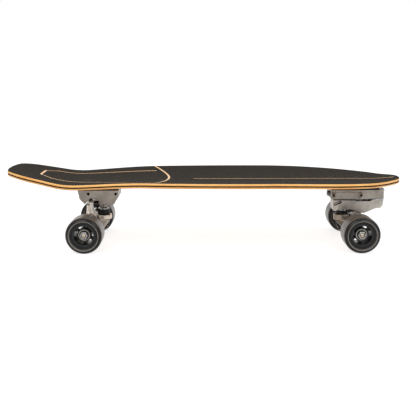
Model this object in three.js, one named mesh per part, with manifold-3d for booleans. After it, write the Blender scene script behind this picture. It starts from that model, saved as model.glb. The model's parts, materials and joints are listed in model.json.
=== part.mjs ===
import * as THREE from 'three';
import Module from 'manifold-3d';
import { mergeVertices } from 'three/addons/utils/BufferGeometryUtils.js';

const wasm = await Module();
wasm.setup();

// Surf skateboard: a concave maple deck on a sprung swing-arm front truck and a plain rear truck.
// Millimetres, +X to the nose, +Z up, the wheels stand on z = 0 and x = 0 is the middle of the deck.

// Clearances shared by every fit
const gap = 0.3;
const overrun = 6;
const weldDistance = 0.001;

// Round and hexagonal parts
const wheelSides = 24;
const coreSides = 18;
const bearingSides = 10;
const roundSides = 16;
const smallSides = 12;
const hexSides = 6;
const boltSides = 8;
const curveSteps = 4;
const windowSteps = 1;

// Wheels and axles, the same at both ends
const wheelRadius = 35;
const wheelWidth = 50;
const trackHalf = 90;
const shoulderDepth = 6;
const shoulderHeight = 5.5;
const shoulderRoundShare = 0.32;
const lipRadius = 27.6;
const lipTaper = 0.8;
const faceRecess = 5;
const coreRadius = 22;
const coreRimWall = 3.5;
const hubWall = 2;
const hubOverlap = 0.5;
const webThickness = 10;
const windowCount = 6;
const windowAngleShare = 0.66;
const bearingRadius = 11;
const bearingWidth = 7;
const bearingSpacing = 10;
const spacerRadius = 6;
const speedRingWidth = 1.2;
const axleRadius = 4;
const axleNutRadius = 7.5;
const axleNutWidth = 6;
const axleTipLength = 1;

// Deck outline as shares of half the length and half the width, from the tail to the nose
const deckLength = 780;
const deckWidth = 252;
const outlineShares = [
  [-1, 0.05], [-0.987, 0.355], [-0.964, 0.49], [-0.896, 0.622], [-0.768, 0.72], [-0.616, 0.812],
  [-0.387, 0.889], [-0.153, 0.964], [0.102, 1], [0.387, 0.988], [0.565, 0.93], [0.718, 0.81],
  [0.845, 0.62], [0.9365, 0.355], [0.966, 0.275], [0.989, 0.175], [1, 0.03],
];
const outlineHalvings = 30;
const deckStations = 21;
const deckStrips = 6;

// Stack from the truck bases, measured from the axle, up to the top of the plies, measured from the floor
const baseTop = 73.2;
const riserThickness = 9.1;
const outerPlies = 3.1;
const corePly = 1.8;
const riserTop = baseTop + gap + riserThickness;
const deckTopHeight = wheelRadius + riserTop + gap + 2 * outerPlies + corePly + 2 * gap;

// Grip thickness, concave and bends of the deck
const gripThickness = 0.9;
const concaveDepth = 9.5;
const rearFadeStart = 110;
const rearFadeEnd = 290;
const tailConcaveShare = 0.2;
const frontFadeStart = 120;
const frontFadeEnd = 460;
const tailBendStart = 244;
const tailBendRadius = 240;
const tailAngle = THREE.MathUtils.degToRad(11.2);
const noseBendStart = 320;
const noseBendRadius = 600;
const noseAngle = THREE.MathUtils.degToRad(7.5);

// Wood lines left open between the grip sheets
const chevronTip = -73;
const chevronRound = 25;
const chevronSweepShare = 0.37;
const chevronWidth = 4;
const chevronSteps = 7;
const panelLineWidth = 3.4;
const panelTipWidth = 4;
const panelTip = -336;
const panelTipDepth = 13;
const panelTipHalf = 38;
const panelMiddle = -235;
const panelMiddleHalf = 57;
const panelEnd = -118;
const panelEndHalf = 71;
const panelSteps = 4;
const stringerStart = -18;
const stringerEnd = 380;
const stringerWidth = 3.4;

// Deck bolts and the width of the truck bases that they hold
const boltSpacingX = 54;
const boltSpacingY = 41.3;
const baseMargin = 6.85;
const baseWidth = boltSpacingY + 2 * baseMargin;
const boltRadius = 2.4;
const boltHeadRadius = 4.7;
const boltHeadDepth = 2.6;
const boltNutRadius = 4.5;
const boltNutHeight = 5;
const boltTipLength = 1.2;

// Truck places
const rearAxleX = -230.5;
const frontAxleX = 297;

// Parts of the lean pivot that both trucks share
const kingpinRadius = 4.75;
const kingpinHeadRadius = 8.1;
const kingpinHeadHeight = 5.8;
const kingpinTipLength = 2;
const kingpinNutHeight = 7;
const ringRadius = 16;
const ringThickness = 9;
const ringBoreRadius = 7.2;
const bushingRadius = 12.4;
const bushingWaist = 1.2;
const bushingHeight = 10.8;
const bushingRoom = 1.2;
const coneRadius = 9.6;
const washerThickness = 1.7;
const upperWasherRadius = 11;
const lowerWasherRadius = 10;
const noseRadius = 5;
const noseLength = 9;
const noseFlare = 1.8;
const cupWall = 3;
const cupDepth = 3.2;
const cupLip = 3;
const cupBossWall = 3.6;
const kingpinBossRadius = 7.6;
const kingpinBossFlare = 2.4;
const kingpinBossTaper = 9;

// Hanger casting
const armRadius = 10.5;
const armEndRadius = 8.2;
const armMiddleHalf = 20;
const armShoulderHalf = 60;
const armShoulderRadius = 9.2;
const spineWidth = 32;
const spineWeb = 5;
const spineNeckHalf = 6.5;
const saddlePlate = 3.6;
const skirtHalf = 18.5;
const skirtWall = 3;
const skirtReach = 13.5;
const skirtRun = 2;
const skirtDrop = 5;
const skirtRoom = 1;
const pocketMargin = 4.5;
const wingTopHalf = 8;
const wingThickness = 8;
const wingReach = 58;
const wingEndHeight = 6;
const wingFoot = 4;

// Rear truck, where x runs from the axle towards the middle of the board
const rearPivotX = -8;
const rearPivotZ = 52;
const rearKingpinX = 25;
const rearRingTop = 20;
const rearWingTop = 25;
const rearHeadSeat = 60;
const rearBaseBack = -23;
const rearBaseFront = 58.5;
const rearLobeX = -9.4;
const rearLobeZ = 45.2;
const rearLobeSideX = -18.2;
const rearLobeSideZ = 54.3;
const rearNotchX = 2.7;
const rearNotchZ = 57.2;
const rearArchX = 13;
const rearArchZ = 54.6;
const rearArchSideX = 18.1;
const rearArchSideZ = 52.5;
const rearArchLowX = 25.6;
const rearArchLowZ = 45.7;
const rearKeelStart = 29.7;
const rearKeelEnd = 43.3;
const rearKeelZ = 42.3;
const rearKeelRise = 1.7;
const rearCheekX = 49;
const rearCheekZ = 45;
const rearFrontSideX = 57;
const rearFrontSideZ = 58.5;
const rearChannelHalf = 18;
const rearChannelTop = 58;
const rearFlange = 5;
const rearBoltsX = 25.5;
const nutPocketRadius = 5.2;
const sideHoleRadius = 1.7;
const sideHoleDrop = 7.3;

// Front truck: the spring housing under the deck
const housingFloor = 54;
const housingEnd = 47.5;
const housingShoulderX = -14;
const postX = -48;
const housingPostRadius = 17.5;
const ledgeHeight = 4;
const ledgeStep = 1.2;
const housingNoseDraft = 3;
const housingChamferX = 9;
const housingChamferZ = 2.9;
const frontBoltsX = 14.8;
const frontNutDepth = 6;
const sideBossRadius = 4;

// Front truck: the swing arm and its post
const armTop = 51.5;
const armHubRadius = 16;
const armHalfWidth = 21;
const armTailHalf = 14;
const armTailX = 44;
const armTailZ = 31;
const armTailChamfer = 2.5;
const armArchX = 14.5;
const armArchZ = 32.5;
const armKeelX = -20;
const armKeelZ = 24.8;
const armHeelX = -46;
const armHeelZ = 34;
const armHeelDrop = 0.6;
const armHeelChamfer = 4;
const armNoseX = -64;
const armReliefStart = -3;
const armReliefEnd = -35;
const armReliefDepth = 2;
const armChannelHalf = 14;
const armChannelTop = 42;
const armChannelEnd = 38;
const armFlankStart = -30;
const armFlankEnd = 22;
const armRecessStart = 27;
const armRecessEnd = 40;
const armRecessZ = 47.5;
const armRecessFall = 4.5;
const armRecessRadius = 2.8;
const armRecessDepth = 1.6;
const armBoreFloor = 3;
const frontHeadSeat = 45;
const frontPivotX = -21;
const frontPivotZ = 36;
const frontKingpinX = 20;
const frontRingTop = 17;
const frontWingTop = 19;

// Front truck: bearings, plunger, rod and spring inside the housing
const barrelRadius = 11.5;
const barrelBore = 8.7;
const barrelWindowHalf = 9.5;
const spigotRadius = 9;
const sleeveWall = 1.9;
const sleeveWindowHalf = 5.6;
const thrustRadius = 17;
const retainerSeat = 70.8;
const retainerRadius = 15.2;
const retainerThickness = 1.5;
const grooveDepth = 1;
const springAxisZ = 62.5;
const windowHalfHeight = 4;
const springMeanRadius = 4.6;
const springWireRadius = 1.2;
const springCurls = 6;
const springSteps = 8;
const springSides = 5;
const springLength = 25.6;
const springGapLeast = 0.4;
const pocketHalf = 7;
const pocketFloor = 1.9;
const plungerX = 4;
const plungerLength = 7.6;
const plungerRadius = 6.1;
const plungerSpigotRadius = 3;
const plungerSpigotLength = 4;
const socketDepth = 3;
const rodBallRadius = 2.6;
const rodRadius = 2.1;
const rodCrank = 5.4;
const rodEntry = 0.4;
const adjusterRadius = 5.4;
const adjusterSeatRadius = 6;
const adjusterSeatLength = 2.4;
const adjusterStub = 3.6;
const adjusterSocketRadius = 2.6;
const adjusterSocketDepth = 2.4;
const housingEndWall = 4.5;

// Finishes
const grip = { color: 0x3a3632, roughness: 0.95, metalness: 0 };
const maple = { color: 0xe2b077, roughness: 0.5, metalness: 0 };
const darkPly = { color: 0x4f3222, roughness: 0.55, metalness: 0 };
const castMetal = { color: 0x8f8984, roughness: 0.5, metalness: 0.85 };
const steel = { color: 0xb4b4b2, roughness: 0.3, metalness: 1 };
const blackSteel = { color: 0x1a1a1a, roughness: 0.4, metalness: 1 };
const blackPlastic = { color: 0x1b1b1c, roughness: 0.6, metalness: 0 };
const urethane = { color: 0x17181a, roughness: 0.4, metalness: 0 };
const coreBlack = { color: 0x202123, roughness: 0.5, metalness: 0 };
const bushingBlack = { color: 0x141415, roughness: 0.55, metalness: 0 };
const springSteel = { color: 0x6f7072, roughness: 0.35, metalness: 1 };

// Closed geometry to solid: shared corners merged, collapsed triangles dropped, faces turned outward
function solid(geometry) {
  const bare = geometry.clone();
  bare.deleteAttribute('normal');
  bare.deleteAttribute('uv');
  const merged = mergeVertices(bare, weldDistance);
  const corners = merged.attributes.position.array;
  const triangles = [];
  let volume = 0;
  for (let i = 0; i < merged.index.count; i += 3) {
    const [a, b, c] = [merged.index.getX(i), merged.index.getX(i + 1), merged.index.getX(i + 2)];
    if (a === b || b === c || c === a) continue;
    triangles.push([a, b, c]);
    const [p, q, r] = [a, b, c].map((k) => new THREE.Vector3().fromArray(corners, k * 3));
    volume += p.dot(q.cross(r));
  }
  const outward = volume > 0 ? triangles : triangles.map(([a, b, c]) => [a, c, b]);
  return new wasm.Manifold(new wasm.Mesh({
    numProp: 3,
    vertProperties: corners,
    triVerts: new Uint32Array(outward.flat()),
  }));
}

// Named mesh of a solid with its own material
function part(name, body, finish) {
  const { vertProperties, triVerts } = body.getMesh();
  const geometry = new THREE.BufferGeometry();
  geometry.setAttribute('position', new THREE.BufferAttribute(vertProperties, 3));
  geometry.setIndex(new THREE.BufferAttribute(triVerts, 1));
  geometry.computeVertexNormals();
  const mesh = new THREE.Mesh(geometry, new THREE.MeshStandardMaterial(finish));
  mesh.name = name;
  return mesh;
}

// Shape through plain corners
function polygon(corners) {
  return new THREE.Shape(corners.map(([x, y]) => new THREE.Vector2(x, y)));
}

// Side view (x, z) carried across the board, centred on y = 0 or on a given y
function acrossBoard(shape, width, y = 0, curveSegments = curveSteps) {
  const geometry = new THREE.ExtrudeGeometry(shape, { depth: width, bevelEnabled: false, curveSegments });
  geometry.translate(0, 0, -width / 2);
  geometry.rotateX(Math.PI / 2);
  geometry.translate(0, y, 0);
  return solid(geometry);
}

// Front view (y, z) carried along x, centred on x = 0
function alongBoard(shape, depth) {
  const geometry = new THREE.ExtrudeGeometry(shape, { depth, bevelEnabled: false });
  geometry.translate(0, 0, -depth / 2);
  geometry.rotateX(Math.PI / 2);
  geometry.rotateZ(Math.PI / 2);
  return solid(geometry);
}

// Plan view (x, y) carried up from one height to another
function upright(shape, from, to) {
  const geometry = new THREE.ExtrudeGeometry(shape, {
    depth: to - from, bevelEnabled: false, curveSegments: curveSteps,
  });
  geometry.translate(0, 0, from);
  return solid(geometry);
}

// Profile of [radius, height] pairs turned about an upright axis
function turnedGeometry(profile, sides) {
  const points = profile.map(([radius, height]) => new THREE.Vector2(radius, height));
  const geometry = new THREE.LatheGeometry(points, sides, Math.PI / sides);
  geometry.rotateX(Math.PI / 2);
  return geometry;
}

function turned(profile, sides, x = 0, y = 0, z = 0) {
  const geometry = turnedGeometry(profile, sides);
  geometry.translate(x, y, z);
  return solid(geometry);
}

// Closed profile of a washer, sleeve or ring
function ringProfile(inner, outer, from, to) {
  return [[inner, from], [outer, from], [outer, to], [inner, to], [inner, from]];
}

// Closed profile of a plain pin or disc
function pinProfile(radius, from, to) {
  return [[0, from], [radius, from], [radius, to], [0, to]];
}

// Turned solid lying along y, as wheels and axles do
function turnedAcross(profile, sides, y = 0) {
  const points = profile.map(([radius, along]) => new THREE.Vector2(radius, along));
  const geometry = new THREE.LatheGeometry(points, sides, Math.PI / sides);
  geometry.translate(0, y, 0);
  return solid(geometry);
}

// Turned solid lying along x at a given height, as the spring parts do
function turnedAlong(profile, sides, z) {
  const geometry = turnedGeometry(profile, sides);
  geometry.rotateY(Math.PI / 2);
  geometry.translate(0, 0, z);
  return solid(geometry);
}

// Height of the deck above its flat middle, bent up on an arc and then straight
function bendRise(distance, radius, angle) {
  const arcRun = radius * Math.sin(angle);
  if (distance <= 0) return 0;
  if (distance < arcRun) return radius - Math.sqrt(radius ** 2 - distance ** 2);
  return radius * (1 - Math.cos(angle)) + (distance - arcRun) * Math.tan(angle);
}

// Depth of the concave at a station
function concaveAt(x) {
  const rear = THREE.MathUtils.smoothstep(-x, rearFadeStart, rearFadeEnd);
  const front = THREE.MathUtils.smoothstep(x, frontFadeStart, frontFadeEnd);
  return concaveDepth * (1 - (1 - tailConcaveShare) * rear) * (1 - front);
}

// Top of the plies at a station, where across runs from -1 to 1 between the rails
function deckHeight(x, across) {
  const tail = bendRise(-x - tailBendStart, tailBendRadius, tailAngle);
  const nose = bendRise(x - noseBendStart, noseBendRadius, noseAngle);
  return deckTopHeight + tail + nose + concaveAt(x) * across ** 2;
}

const outline = new THREE.SplineCurve(
  outlineShares.map(([along, across]) => new THREE.Vector2(along * deckLength / 2, across * deckWidth / 2)),
);

// One layer of the deck between two levels measured from the top of the plies. The underside is split
// along the same diagonals as the top, so that stacked layers keep their gap
function deckLayer(bottom, top) {
  const box = new THREE.BoxGeometry(1, 1, 1, deckStations, deckStrips, 1);
  const underside = box.groups[box.groups.length - 1];
  const order = box.index.array;
  for (let i = underside.start; i < order.length; i += 6) {
    const [a, b, d, , c] = order.slice(i, i + 6);
    order.set([a, b, c, a, c, d], i);
  }
  const place = box.attributes.position;
  for (let i = 0; i < place.count; i += 1) {
    const edge = outline.getPoint(place.getX(i) + 0.5);
    const across = 2 * place.getY(i);
    const level = place.getZ(i) > 0 ? top : bottom;
    place.setXYZ(i, edge.x, across * edge.y, deckHeight(edge.x, across) + level);
  }
  return solid(box);
}

// Half width of the deck at a station near the trucks
function halfWidthAt(x) {
  let lowShare = 0;
  let highShare = 1;
  for (let i = 0; i < outlineHalvings; i += 1) {
    const middleShare = (lowShare + highShare) / 2;
    if (outline.getPoint(middleShare).x < x) lowShare = middleShare;
    else highShare = middleShare;
  }
  return outline.getPoint(lowShare).y;
}

// The eight deck bolts: place, top of the head and the face that the nut pulls on
const rearNutSeat = wheelRadius + baseTop - rearFlange - gap;
const frontNutSeat = wheelRadius + housingFloor + frontNutDepth - gap;
const boltPlaces = [];
for (const [end, centre, nutSeat] of [
  ['rear', rearAxleX + rearBoltsX, rearNutSeat],
  ['front', frontAxleX - frontBoltsX, frontNutSeat],
]) {
  for (const [row, alongSign] of [['tailward', -1], ['noseward', 1]]) {
    for (const [side, acrossSign] of [['right', -1], ['left', 1]]) {
      const x = centre + alongSign * boltSpacingX / 2;
      const y = acrossSign * boltSpacingY / 2;
      const top = deckHeight(x, y / halfWidthAt(x)) + gap + gripThickness;
      boltPlaces.push({ name: `${end}_${row}_${side}`, x, y, top, nutSeat });
    }
  }
}

// Bolt head and shank, grown by a clearance where it cuts a hole
function boltShankProfile(top, end, grow) {
  return [
    [0, top + grow], [boltHeadRadius + grow, top + grow], [boltHeadRadius + grow, top],
    [boltRadius + grow, top - boltHeadDepth], [boltRadius + grow, end], [0, end],
  ];
}

function boltHoles() {
  const holes = boltPlaces.map(({ x, y, top, nutSeat }) => {
    const end = nutSeat - boltNutHeight - boltTipLength - overrun;
    return turned(boltShankProfile(top, end, gap), boltSides, x, y);
  });
  return holes.reduce((all, hole) => all.add(hole));
}

// Deck bolt and its lock nut, which turn as one when they are drawn up
function deckBolt({ name, x, y, top, nutSeat }) {
  const nutBottom = nutSeat - boltNutHeight;
  const profile = [
    [0, top], [boltHeadRadius, top], [boltRadius, top - boltHeadDepth], [boltRadius, nutSeat],
    [boltNutRadius, nutSeat], [boltNutRadius, nutBottom], [boltRadius, nutBottom],
    [boltRadius, nutBottom - boltTipLength], [0, nutBottom - boltTipLength],
  ];
  return part(`deck_bolt_${name}`, turned(profile, boltSides, x, y), blackSteel);
}

// Place of the chevron line behind its tip at a distance from the centre line
function chevronX(y) {
  return chevronTip - chevronSweepShare * (Math.hypot(y, chevronRound) - chevronRound);
}

// Plan area on one side of the chevron, out to the tail or to the nose
function chevronSide(shift, farEnd) {
  const corners = [[farEnd, -deckWidth]];
  for (let i = -chevronSteps; i <= chevronSteps; i += 1) {
    const y = (i / chevronSteps) * deckWidth;
    corners.push([chevronX(y) + shift, y]);
  }
  corners.push([farEnd, deckWidth]);
  return upright(polygon(corners), 0, deckTopHeight * 2);
}

// Thin open line in the grip along a curve in plan
function gripLine(points, width, steps) {
  const curve = new THREE.SplineCurve(points.map(([x, y]) => new THREE.Vector2(x, y)));
  const left = [];
  const right = [];
  for (let i = 0; i <= steps; i += 1) {
    const at = curve.getPoint(i / steps);
    const along = curve.getTangent(i / steps);
    left.push([at.x - along.y * width / 2, at.y + along.x * width / 2]);
    right.unshift([at.x + along.y * width / 2, at.y - along.x * width / 2]);
  }
  return upright(polygon([...left, ...right]), 0, deckTopHeight * 2);
}

// The long inner panel line of the rear grip sheet, wide at its tip and open towards the chevron
function panelLines() {
  const shoulder = panelTip + panelTipDepth;
  const lines = [-1, 1].map((side) => gripLine([
    [shoulder, side * panelTipHalf], [panelMiddle, side * panelMiddleHalf], [panelEnd, side * panelEndHalf],
  ], panelLineWidth, panelSteps));
  const tip = upright(polygon([
    [shoulder, panelTipHalf], [panelTip, 0], [shoulder, -panelTipHalf],
    [shoulder + panelTipWidth, -panelTipHalf], [panelTip + panelTipWidth, 0],
    [shoulder + panelTipWidth, panelTipHalf],
  ]), 0, deckTopHeight * 2);
  return lines.reduce((all, line) => all.add(line), tip);
}

function deckParts(holes) {
  const coreTop = -outerPlies - gap;
  const lowerTop = coreTop - corePly - gap;
  const gripLayer = deckLayer(gap, gap + gripThickness).subtract(holes);
  const rearGrip = gripLayer.intersect(chevronSide(0, -deckLength)).subtract(panelLines());
  const stringer = gripLine([[stringerStart, 0], [stringerEnd, 0]], stringerWidth, 1);
  const frontGrip = gripLayer.intersect(chevronSide(chevronWidth, deckLength)).subtract(stringer);
  return [
    part('deck_top_plies', deckLayer(-outerPlies, 0).subtract(holes), maple),
    part('deck_core_ply', deckLayer(coreTop - corePly, coreTop).subtract(holes), darkPly),
    part('deck_bottom_plies', deckLayer(lowerTop - outerPlies, lowerTop).subtract(holes), maple),
    part('rear_grip_sheet', rearGrip, grip),
    part('front_grip_sheet', frontGrip, grip),
  ];
}

// Riser pad filling the space between a truck base and the flat middle of the deck
const riserInset = 1.5;
const riserCorner = 4;

function riserPad(from, to) {
  const half = baseWidth / 2 - riserInset;
  const plate = new THREE.Shape();
  plate.moveTo(from + riserCorner, -half);
  plate.lineTo(to - riserCorner, -half);
  plate.quadraticCurveTo(to, -half, to, -half + riserCorner);
  plate.lineTo(to, half - riserCorner);
  plate.quadraticCurveTo(to, half, to - riserCorner, half);
  plate.lineTo(from + riserCorner, half);
  plate.quadraticCurveTo(from, half, from, half - riserCorner);
  plate.lineTo(from, -half + riserCorner);
  plate.quadraticCurveTo(from, -half, from + riserCorner, -half);
  return upright(plate, baseTop + gap, riserTop);
}

// Turned solid along the lean axis, which runs from the pivot down to the middle of the kingpin ring
function alongLean(profile, sides, lean) {
  const geometry = turnedGeometry(profile, sides);
  geometry.applyQuaternion(new THREE.Quaternion().setFromUnitVectors(
    new THREE.Vector3(0, 0, 1),
    new THREE.Vector3(lean.along.x, 0, lean.along.y),
  ));
  geometry.translate(lean.pivot.x, 0, lean.pivot.y);
  return solid(geometry);
}

// Lean axis of a truck in its side view: pivot, direction and the ring it turns in
function leanAxis(pivotX, pivotZ, kingpinX, ringTop) {
  const pivot = new THREE.Vector2(pivotX, pivotZ);
  const ring = new THREE.Vector2(kingpinX, ringTop - ringThickness / 2);
  const along = ring.clone().sub(pivot).normalize();
  return { pivot, along, kingpinX, ringTop, ringBottom: ringTop - ringThickness };
}

// Hanger: arms, ring with its skirts, tapering hollow-sided spine, wings and pivot nose
function hanger(lean, wingTop) {
  const { pivot, along, kingpinX, ringTop, ringBottom } = lean;
  const normal = new THREE.Vector2(-along.y, along.x);
  const neck = pivot.clone().addScaledVector(along, noseLength);
  const saddle = neck.clone().addScaledVector(normal, noseRadius);
  const nape = neck.clone().addScaledVector(normal, -noseRadius);
  const seatEdge = kingpinX - bushingRadius - gap;
  const armEnd = trackHalf - bearingSpacing / 2 - bearingWidth - speedRingWidth - gap;
  const arms = turnedAcross([
    [0, -armEnd], [armEndRadius, -armEnd], [armShoulderRadius, -armShoulderHalf],
    [armRadius, -armMiddleHalf], [armRadius, armMiddleHalf], [armShoulderRadius, armShoulderHalf],
    [armEndRadius, armEnd], [0, armEnd],
  ], roundSides);

  const spine = new THREE.Shape();
  spine.moveTo(saddle.x, saddle.y);
  spine.quadraticCurveTo(saddle.x, ringTop, seatEdge, ringTop);
  spine.lineTo(seatEdge, ringBottom);
  spine.lineTo(armRadius, 0);
  spine.absarc(0, 0, armRadius, 0, Math.PI, true);
  spine.quadraticCurveTo(-armRadius - noseFlare, (nape.y + armRadius) / 2, nape.x, nape.y);

  const saddleCurve = new THREE.QuadraticBezierCurve(
    saddle,
    new THREE.Vector2(saddle.x, ringTop),
    new THREE.Vector2(seatEdge, ringTop),
  );
  const saddleMiddle = saddleCurve.getPoint(1 / 2);
  const pocket = polygon([
    [-armRadius + pocketMargin, armRadius],
    [nape.x + pocketMargin / 2, nape.y - pocketMargin],
    [saddleMiddle.x - saddlePlate, saddleMiddle.y - saddlePlate / 2],
    [kingpinX - ringRadius - pocketMargin / 2, ringBottom],
  ]);
  const pocketY = (spineWeb + spineWidth) / 2;
  const ringSide = kingpinX - ringRadius;
  const taper = polygon([
    [nape.x - overrun, -spineNeckHalf], [nape.x, -spineNeckHalf], [ringSide, -spineWidth / 2],
    [kingpinX, -spineWidth / 2], [kingpinX, spineWidth / 2], [ringSide, spineWidth / 2],
    [nape.x, spineNeckHalf], [nape.x - overrun, spineNeckHalf],
  ]);
  const skirt = polygon([
    [0, -armRadius * Math.SQRT1_2], [kingpinX + skirtRun, -skirtDrop],
    [kingpinX + skirtReach, ringBottom], [armRadius * Math.SQRT1_2, ringBottom],
  ]);
  const skirtInside = polygon([
    [0, -armRadius], [kingpinX + ringRadius, -armRadius],
    [kingpinX + ringRadius, ringBottom + skirtRoom], [0, ringBottom + skirtRoom],
  ]);
  const skirts = acrossBoard(skirt, 2 * skirtHalf)
    .subtract(acrossBoard(skirtInside, 2 * (skirtHalf - skirtWall)));
  const wing = polygon([
    [-wingReach, -wingFoot], [wingReach, -wingFoot], [wingReach, wingEndHeight],
    [wingTopHalf, wingTop], [-wingTopHalf, wingTop], [-wingReach, wingEndHeight],
  ]);
  const nose = [
    [0, -noseRadius], [noseRadius * Math.SQRT1_2, -noseRadius * Math.SQRT1_2], [noseRadius, 0],
    [noseRadius + noseFlare, noseLength], [noseRadius, noseLength + noseRadius],
    [0, noseLength + noseRadius],
  ];
  return acrossBoard(spine, spineWidth)
    .subtract(acrossBoard(pocket, spineWidth, pocketY))
    .subtract(acrossBoard(pocket, spineWidth, -pocketY))
    .intersect(upright(taper, -armRadius, pivot.y))
    .add(skirts)
    .add(alongBoard(wing, wingThickness))
    .add(arms)
    .add(turned(pinProfile(ringRadius, ringBottom, ringTop), roundSides, kingpinX))
    .add(alongLean(nose, smallSides, lean))
    .subtract(turned(pinProfile(bushingRadius + bushingRoom, -ringRadius, ringBottom), roundSides, kingpinX))
    .subtract(turned(pinProfile(ringBoreRadius, ringBottom - overrun, ringTop + overrun), smallSides, kingpinX))
    .subtract(turnedAcross(pinProfile(axleRadius + gap, -trackHalf, trackHalf), smallSides));
}

// Soft cup in the base that holds the hanger's pivot nose
const cupRadius = noseRadius + gap + cupWall;

function pivotCup(lean) {
  const bore = noseRadius + gap;
  return alongLean([
    [0, -bore - cupDepth], [cupRadius, -bore - cupDepth], [cupRadius, cupLip],
    [bore + noseFlare / 2, cupLip], [bore, 0], [bore * Math.SQRT1_2, -bore * Math.SQRT1_2], [0, -bore],
  ], roundSides, lean);
}

// Solid boss round the pivot cup, and the room that the cup takes in it
function cupBoss(lean) {
  const back = noseRadius + 2 * gap + cupDepth + cupBossWall;
  return alongLean(pinProfile(cupRadius + gap + cupBossWall, -back, 0), roundSides, lean);
}

function cupRoom(lean) {
  const back = noseRadius + 2 * gap + cupDepth;
  return alongLean(pinProfile(cupRadius + gap, -back, overrun), roundSides, lean);
}

// Heights of the parts stacked on a kingpin, from the boss down to the nut
function kingpinStack(ringTop) {
  const bushingTop = ringTop + gap + bushingHeight;
  const washerTop = bushingTop + gap + washerThickness;
  const coneTop = ringTop - ringThickness - gap;
  const coneBottom = coneTop - bushingHeight;
  const lowerWasherTop = coneBottom - gap;
  const nutTop = lowerWasherTop - washerThickness - gap;
  return { bushingTop, washerTop, bossEnd: washerTop + gap, coneTop, coneBottom, lowerWasherTop, nutTop };
}

function kingpinBoss(x, bossEnd, seat) {
  return turned([
    [0, bossEnd], [kingpinBossRadius, bossEnd],
    [kingpinBossRadius + kingpinBossFlare, bossEnd + kingpinBossTaper],
    [kingpinBossRadius + kingpinBossFlare, seat], [0, seat],
  ], roundSides, x);
}

// Bore for the kingpin and the recess for its head, open at the top
function kingpinRoom(x, seat, top) {
  return turned([
    [0, -overrun], [kingpinRadius + gap, -overrun], [kingpinRadius + gap, seat - gap],
    [kingpinHeadRadius + gap, seat - gap], [kingpinHeadRadius + gap, top + overrun], [0, top + overrun],
  ], smallSides, x);
}

// Kingpin, nut, washers and the two bushings of one truck
function kingpinParts(end, lean, seat) {
  const { bushingTop, coneTop, coneBottom, lowerWasherTop, nutTop } = kingpinStack(lean.ringTop);
  const x = lean.kingpinX;
  const bore = kingpinRadius + gap;
  const nutBottom = nutTop - kingpinNutHeight;
  const shaft = turned(pinProfile(kingpinRadius, nutBottom - kingpinTipLength, seat + kingpinHeadHeight / 2),
    smallSides, x);
  const head = turned(pinProfile(kingpinHeadRadius, seat, seat + kingpinHeadHeight), hexSides, x);
  const nut = turned(pinProfile(kingpinHeadRadius, nutBottom, nutTop), hexSides, x)
    .subtract(turned(pinProfile(bore, nutBottom - overrun, nutTop + overrun), smallSides, x));
  const upperBushing = [
    [bore, lean.ringTop + gap], [bushingRadius, lean.ringTop + gap],
    [bushingRadius - bushingWaist, (lean.ringTop + bushingTop) / 2], [bushingRadius, bushingTop],
    [bore, bushingTop], [bore, lean.ringTop + gap],
  ];
  const lowerBushing = [
    [bore, coneBottom], [coneRadius, coneBottom], [bushingRadius, coneTop], [bore, coneTop], [bore, coneBottom],
  ];
  const upperWasher = ringProfile(bore, upperWasherRadius, bushingTop + gap, bushingTop + gap + washerThickness);
  const lowerWasher = ringProfile(bore, lowerWasherRadius, lowerWasherTop - washerThickness, lowerWasherTop);
  return [
    part(`${end}_kingpin`, shaft.add(head), steel),
    part(`${end}_kingpin_nut`, nut, blackSteel),
    part(`${end}_upper_washer`, turned(upperWasher, roundSides, x), steel),
    part(`${end}_lower_washer`, turned(lowerWasher, roundSides, x), blackSteel),
    part(`${end}_boardside_bushing`, turned(upperBushing, roundSides, x), bushingBlack),
    part(`${end}_roadside_bushing`, turned(lowerBushing, roundSides, x), bushingBlack),
  ];
}

// Axle through the hanger with a nut at each end
function axleParts(end) {
  const nutStart = trackHalf + bearingSpacing / 2 + bearingWidth + speedRingWidth + gap;
  const axleHalf = nutStart + axleNutWidth + axleTipLength;
  const parts = [part(`${end}_axle`, turnedAcross(pinProfile(axleRadius, -axleHalf, axleHalf), smallSides), steel)];
  for (const [side, sign] of sides(end)) {
    const middle = sign * (nutStart + axleNutWidth / 2);
    const nut = turnedAcross(pinProfile(axleNutRadius, -axleNutWidth / 2, axleNutWidth / 2), hexSides, middle)
      .subtract(turnedAcross(pinProfile(axleRadius + gap, -axleNutWidth, axleNutWidth), smallSides, middle));
    parts.push(part(`${end}_${side}_axle_nut`, nut, steel));
  }
  return parts;
}

// The front truck is turned half round, so its left side lies at negative y in its own frame
function sides(end) {
  const left = end === 'rear' ? 1 : -1;
  return [['left', left], ['right', -left]];
}

// Poured urethane tyre, a flat of its many sides down
function tyre(y) {
  const flatShare = Math.cos(Math.PI / wheelSides);
  const half = wheelWidth / 2;
  const floor = half - faceRecess;
  const halfSection = [
    [coreRadius + gap, floor], [lipRadius - lipTaper, floor], [lipRadius, half],
    [wheelRadius - shoulderHeight, half],
    [wheelRadius - shoulderHeight * shoulderRoundShare, half - shoulderDepth * shoulderRoundShare],
    [wheelRadius, half - shoulderDepth],
  ];
  const mirrored = halfSection.map(([radius, along]) => [radius, -along]).reverse();
  const section = [...halfSection, ...mirrored, halfSection[0]];
  return turnedAcross(section.map(([radius, along]) => [radius / flatShare, along]), wheelSides, y);
}

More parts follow.
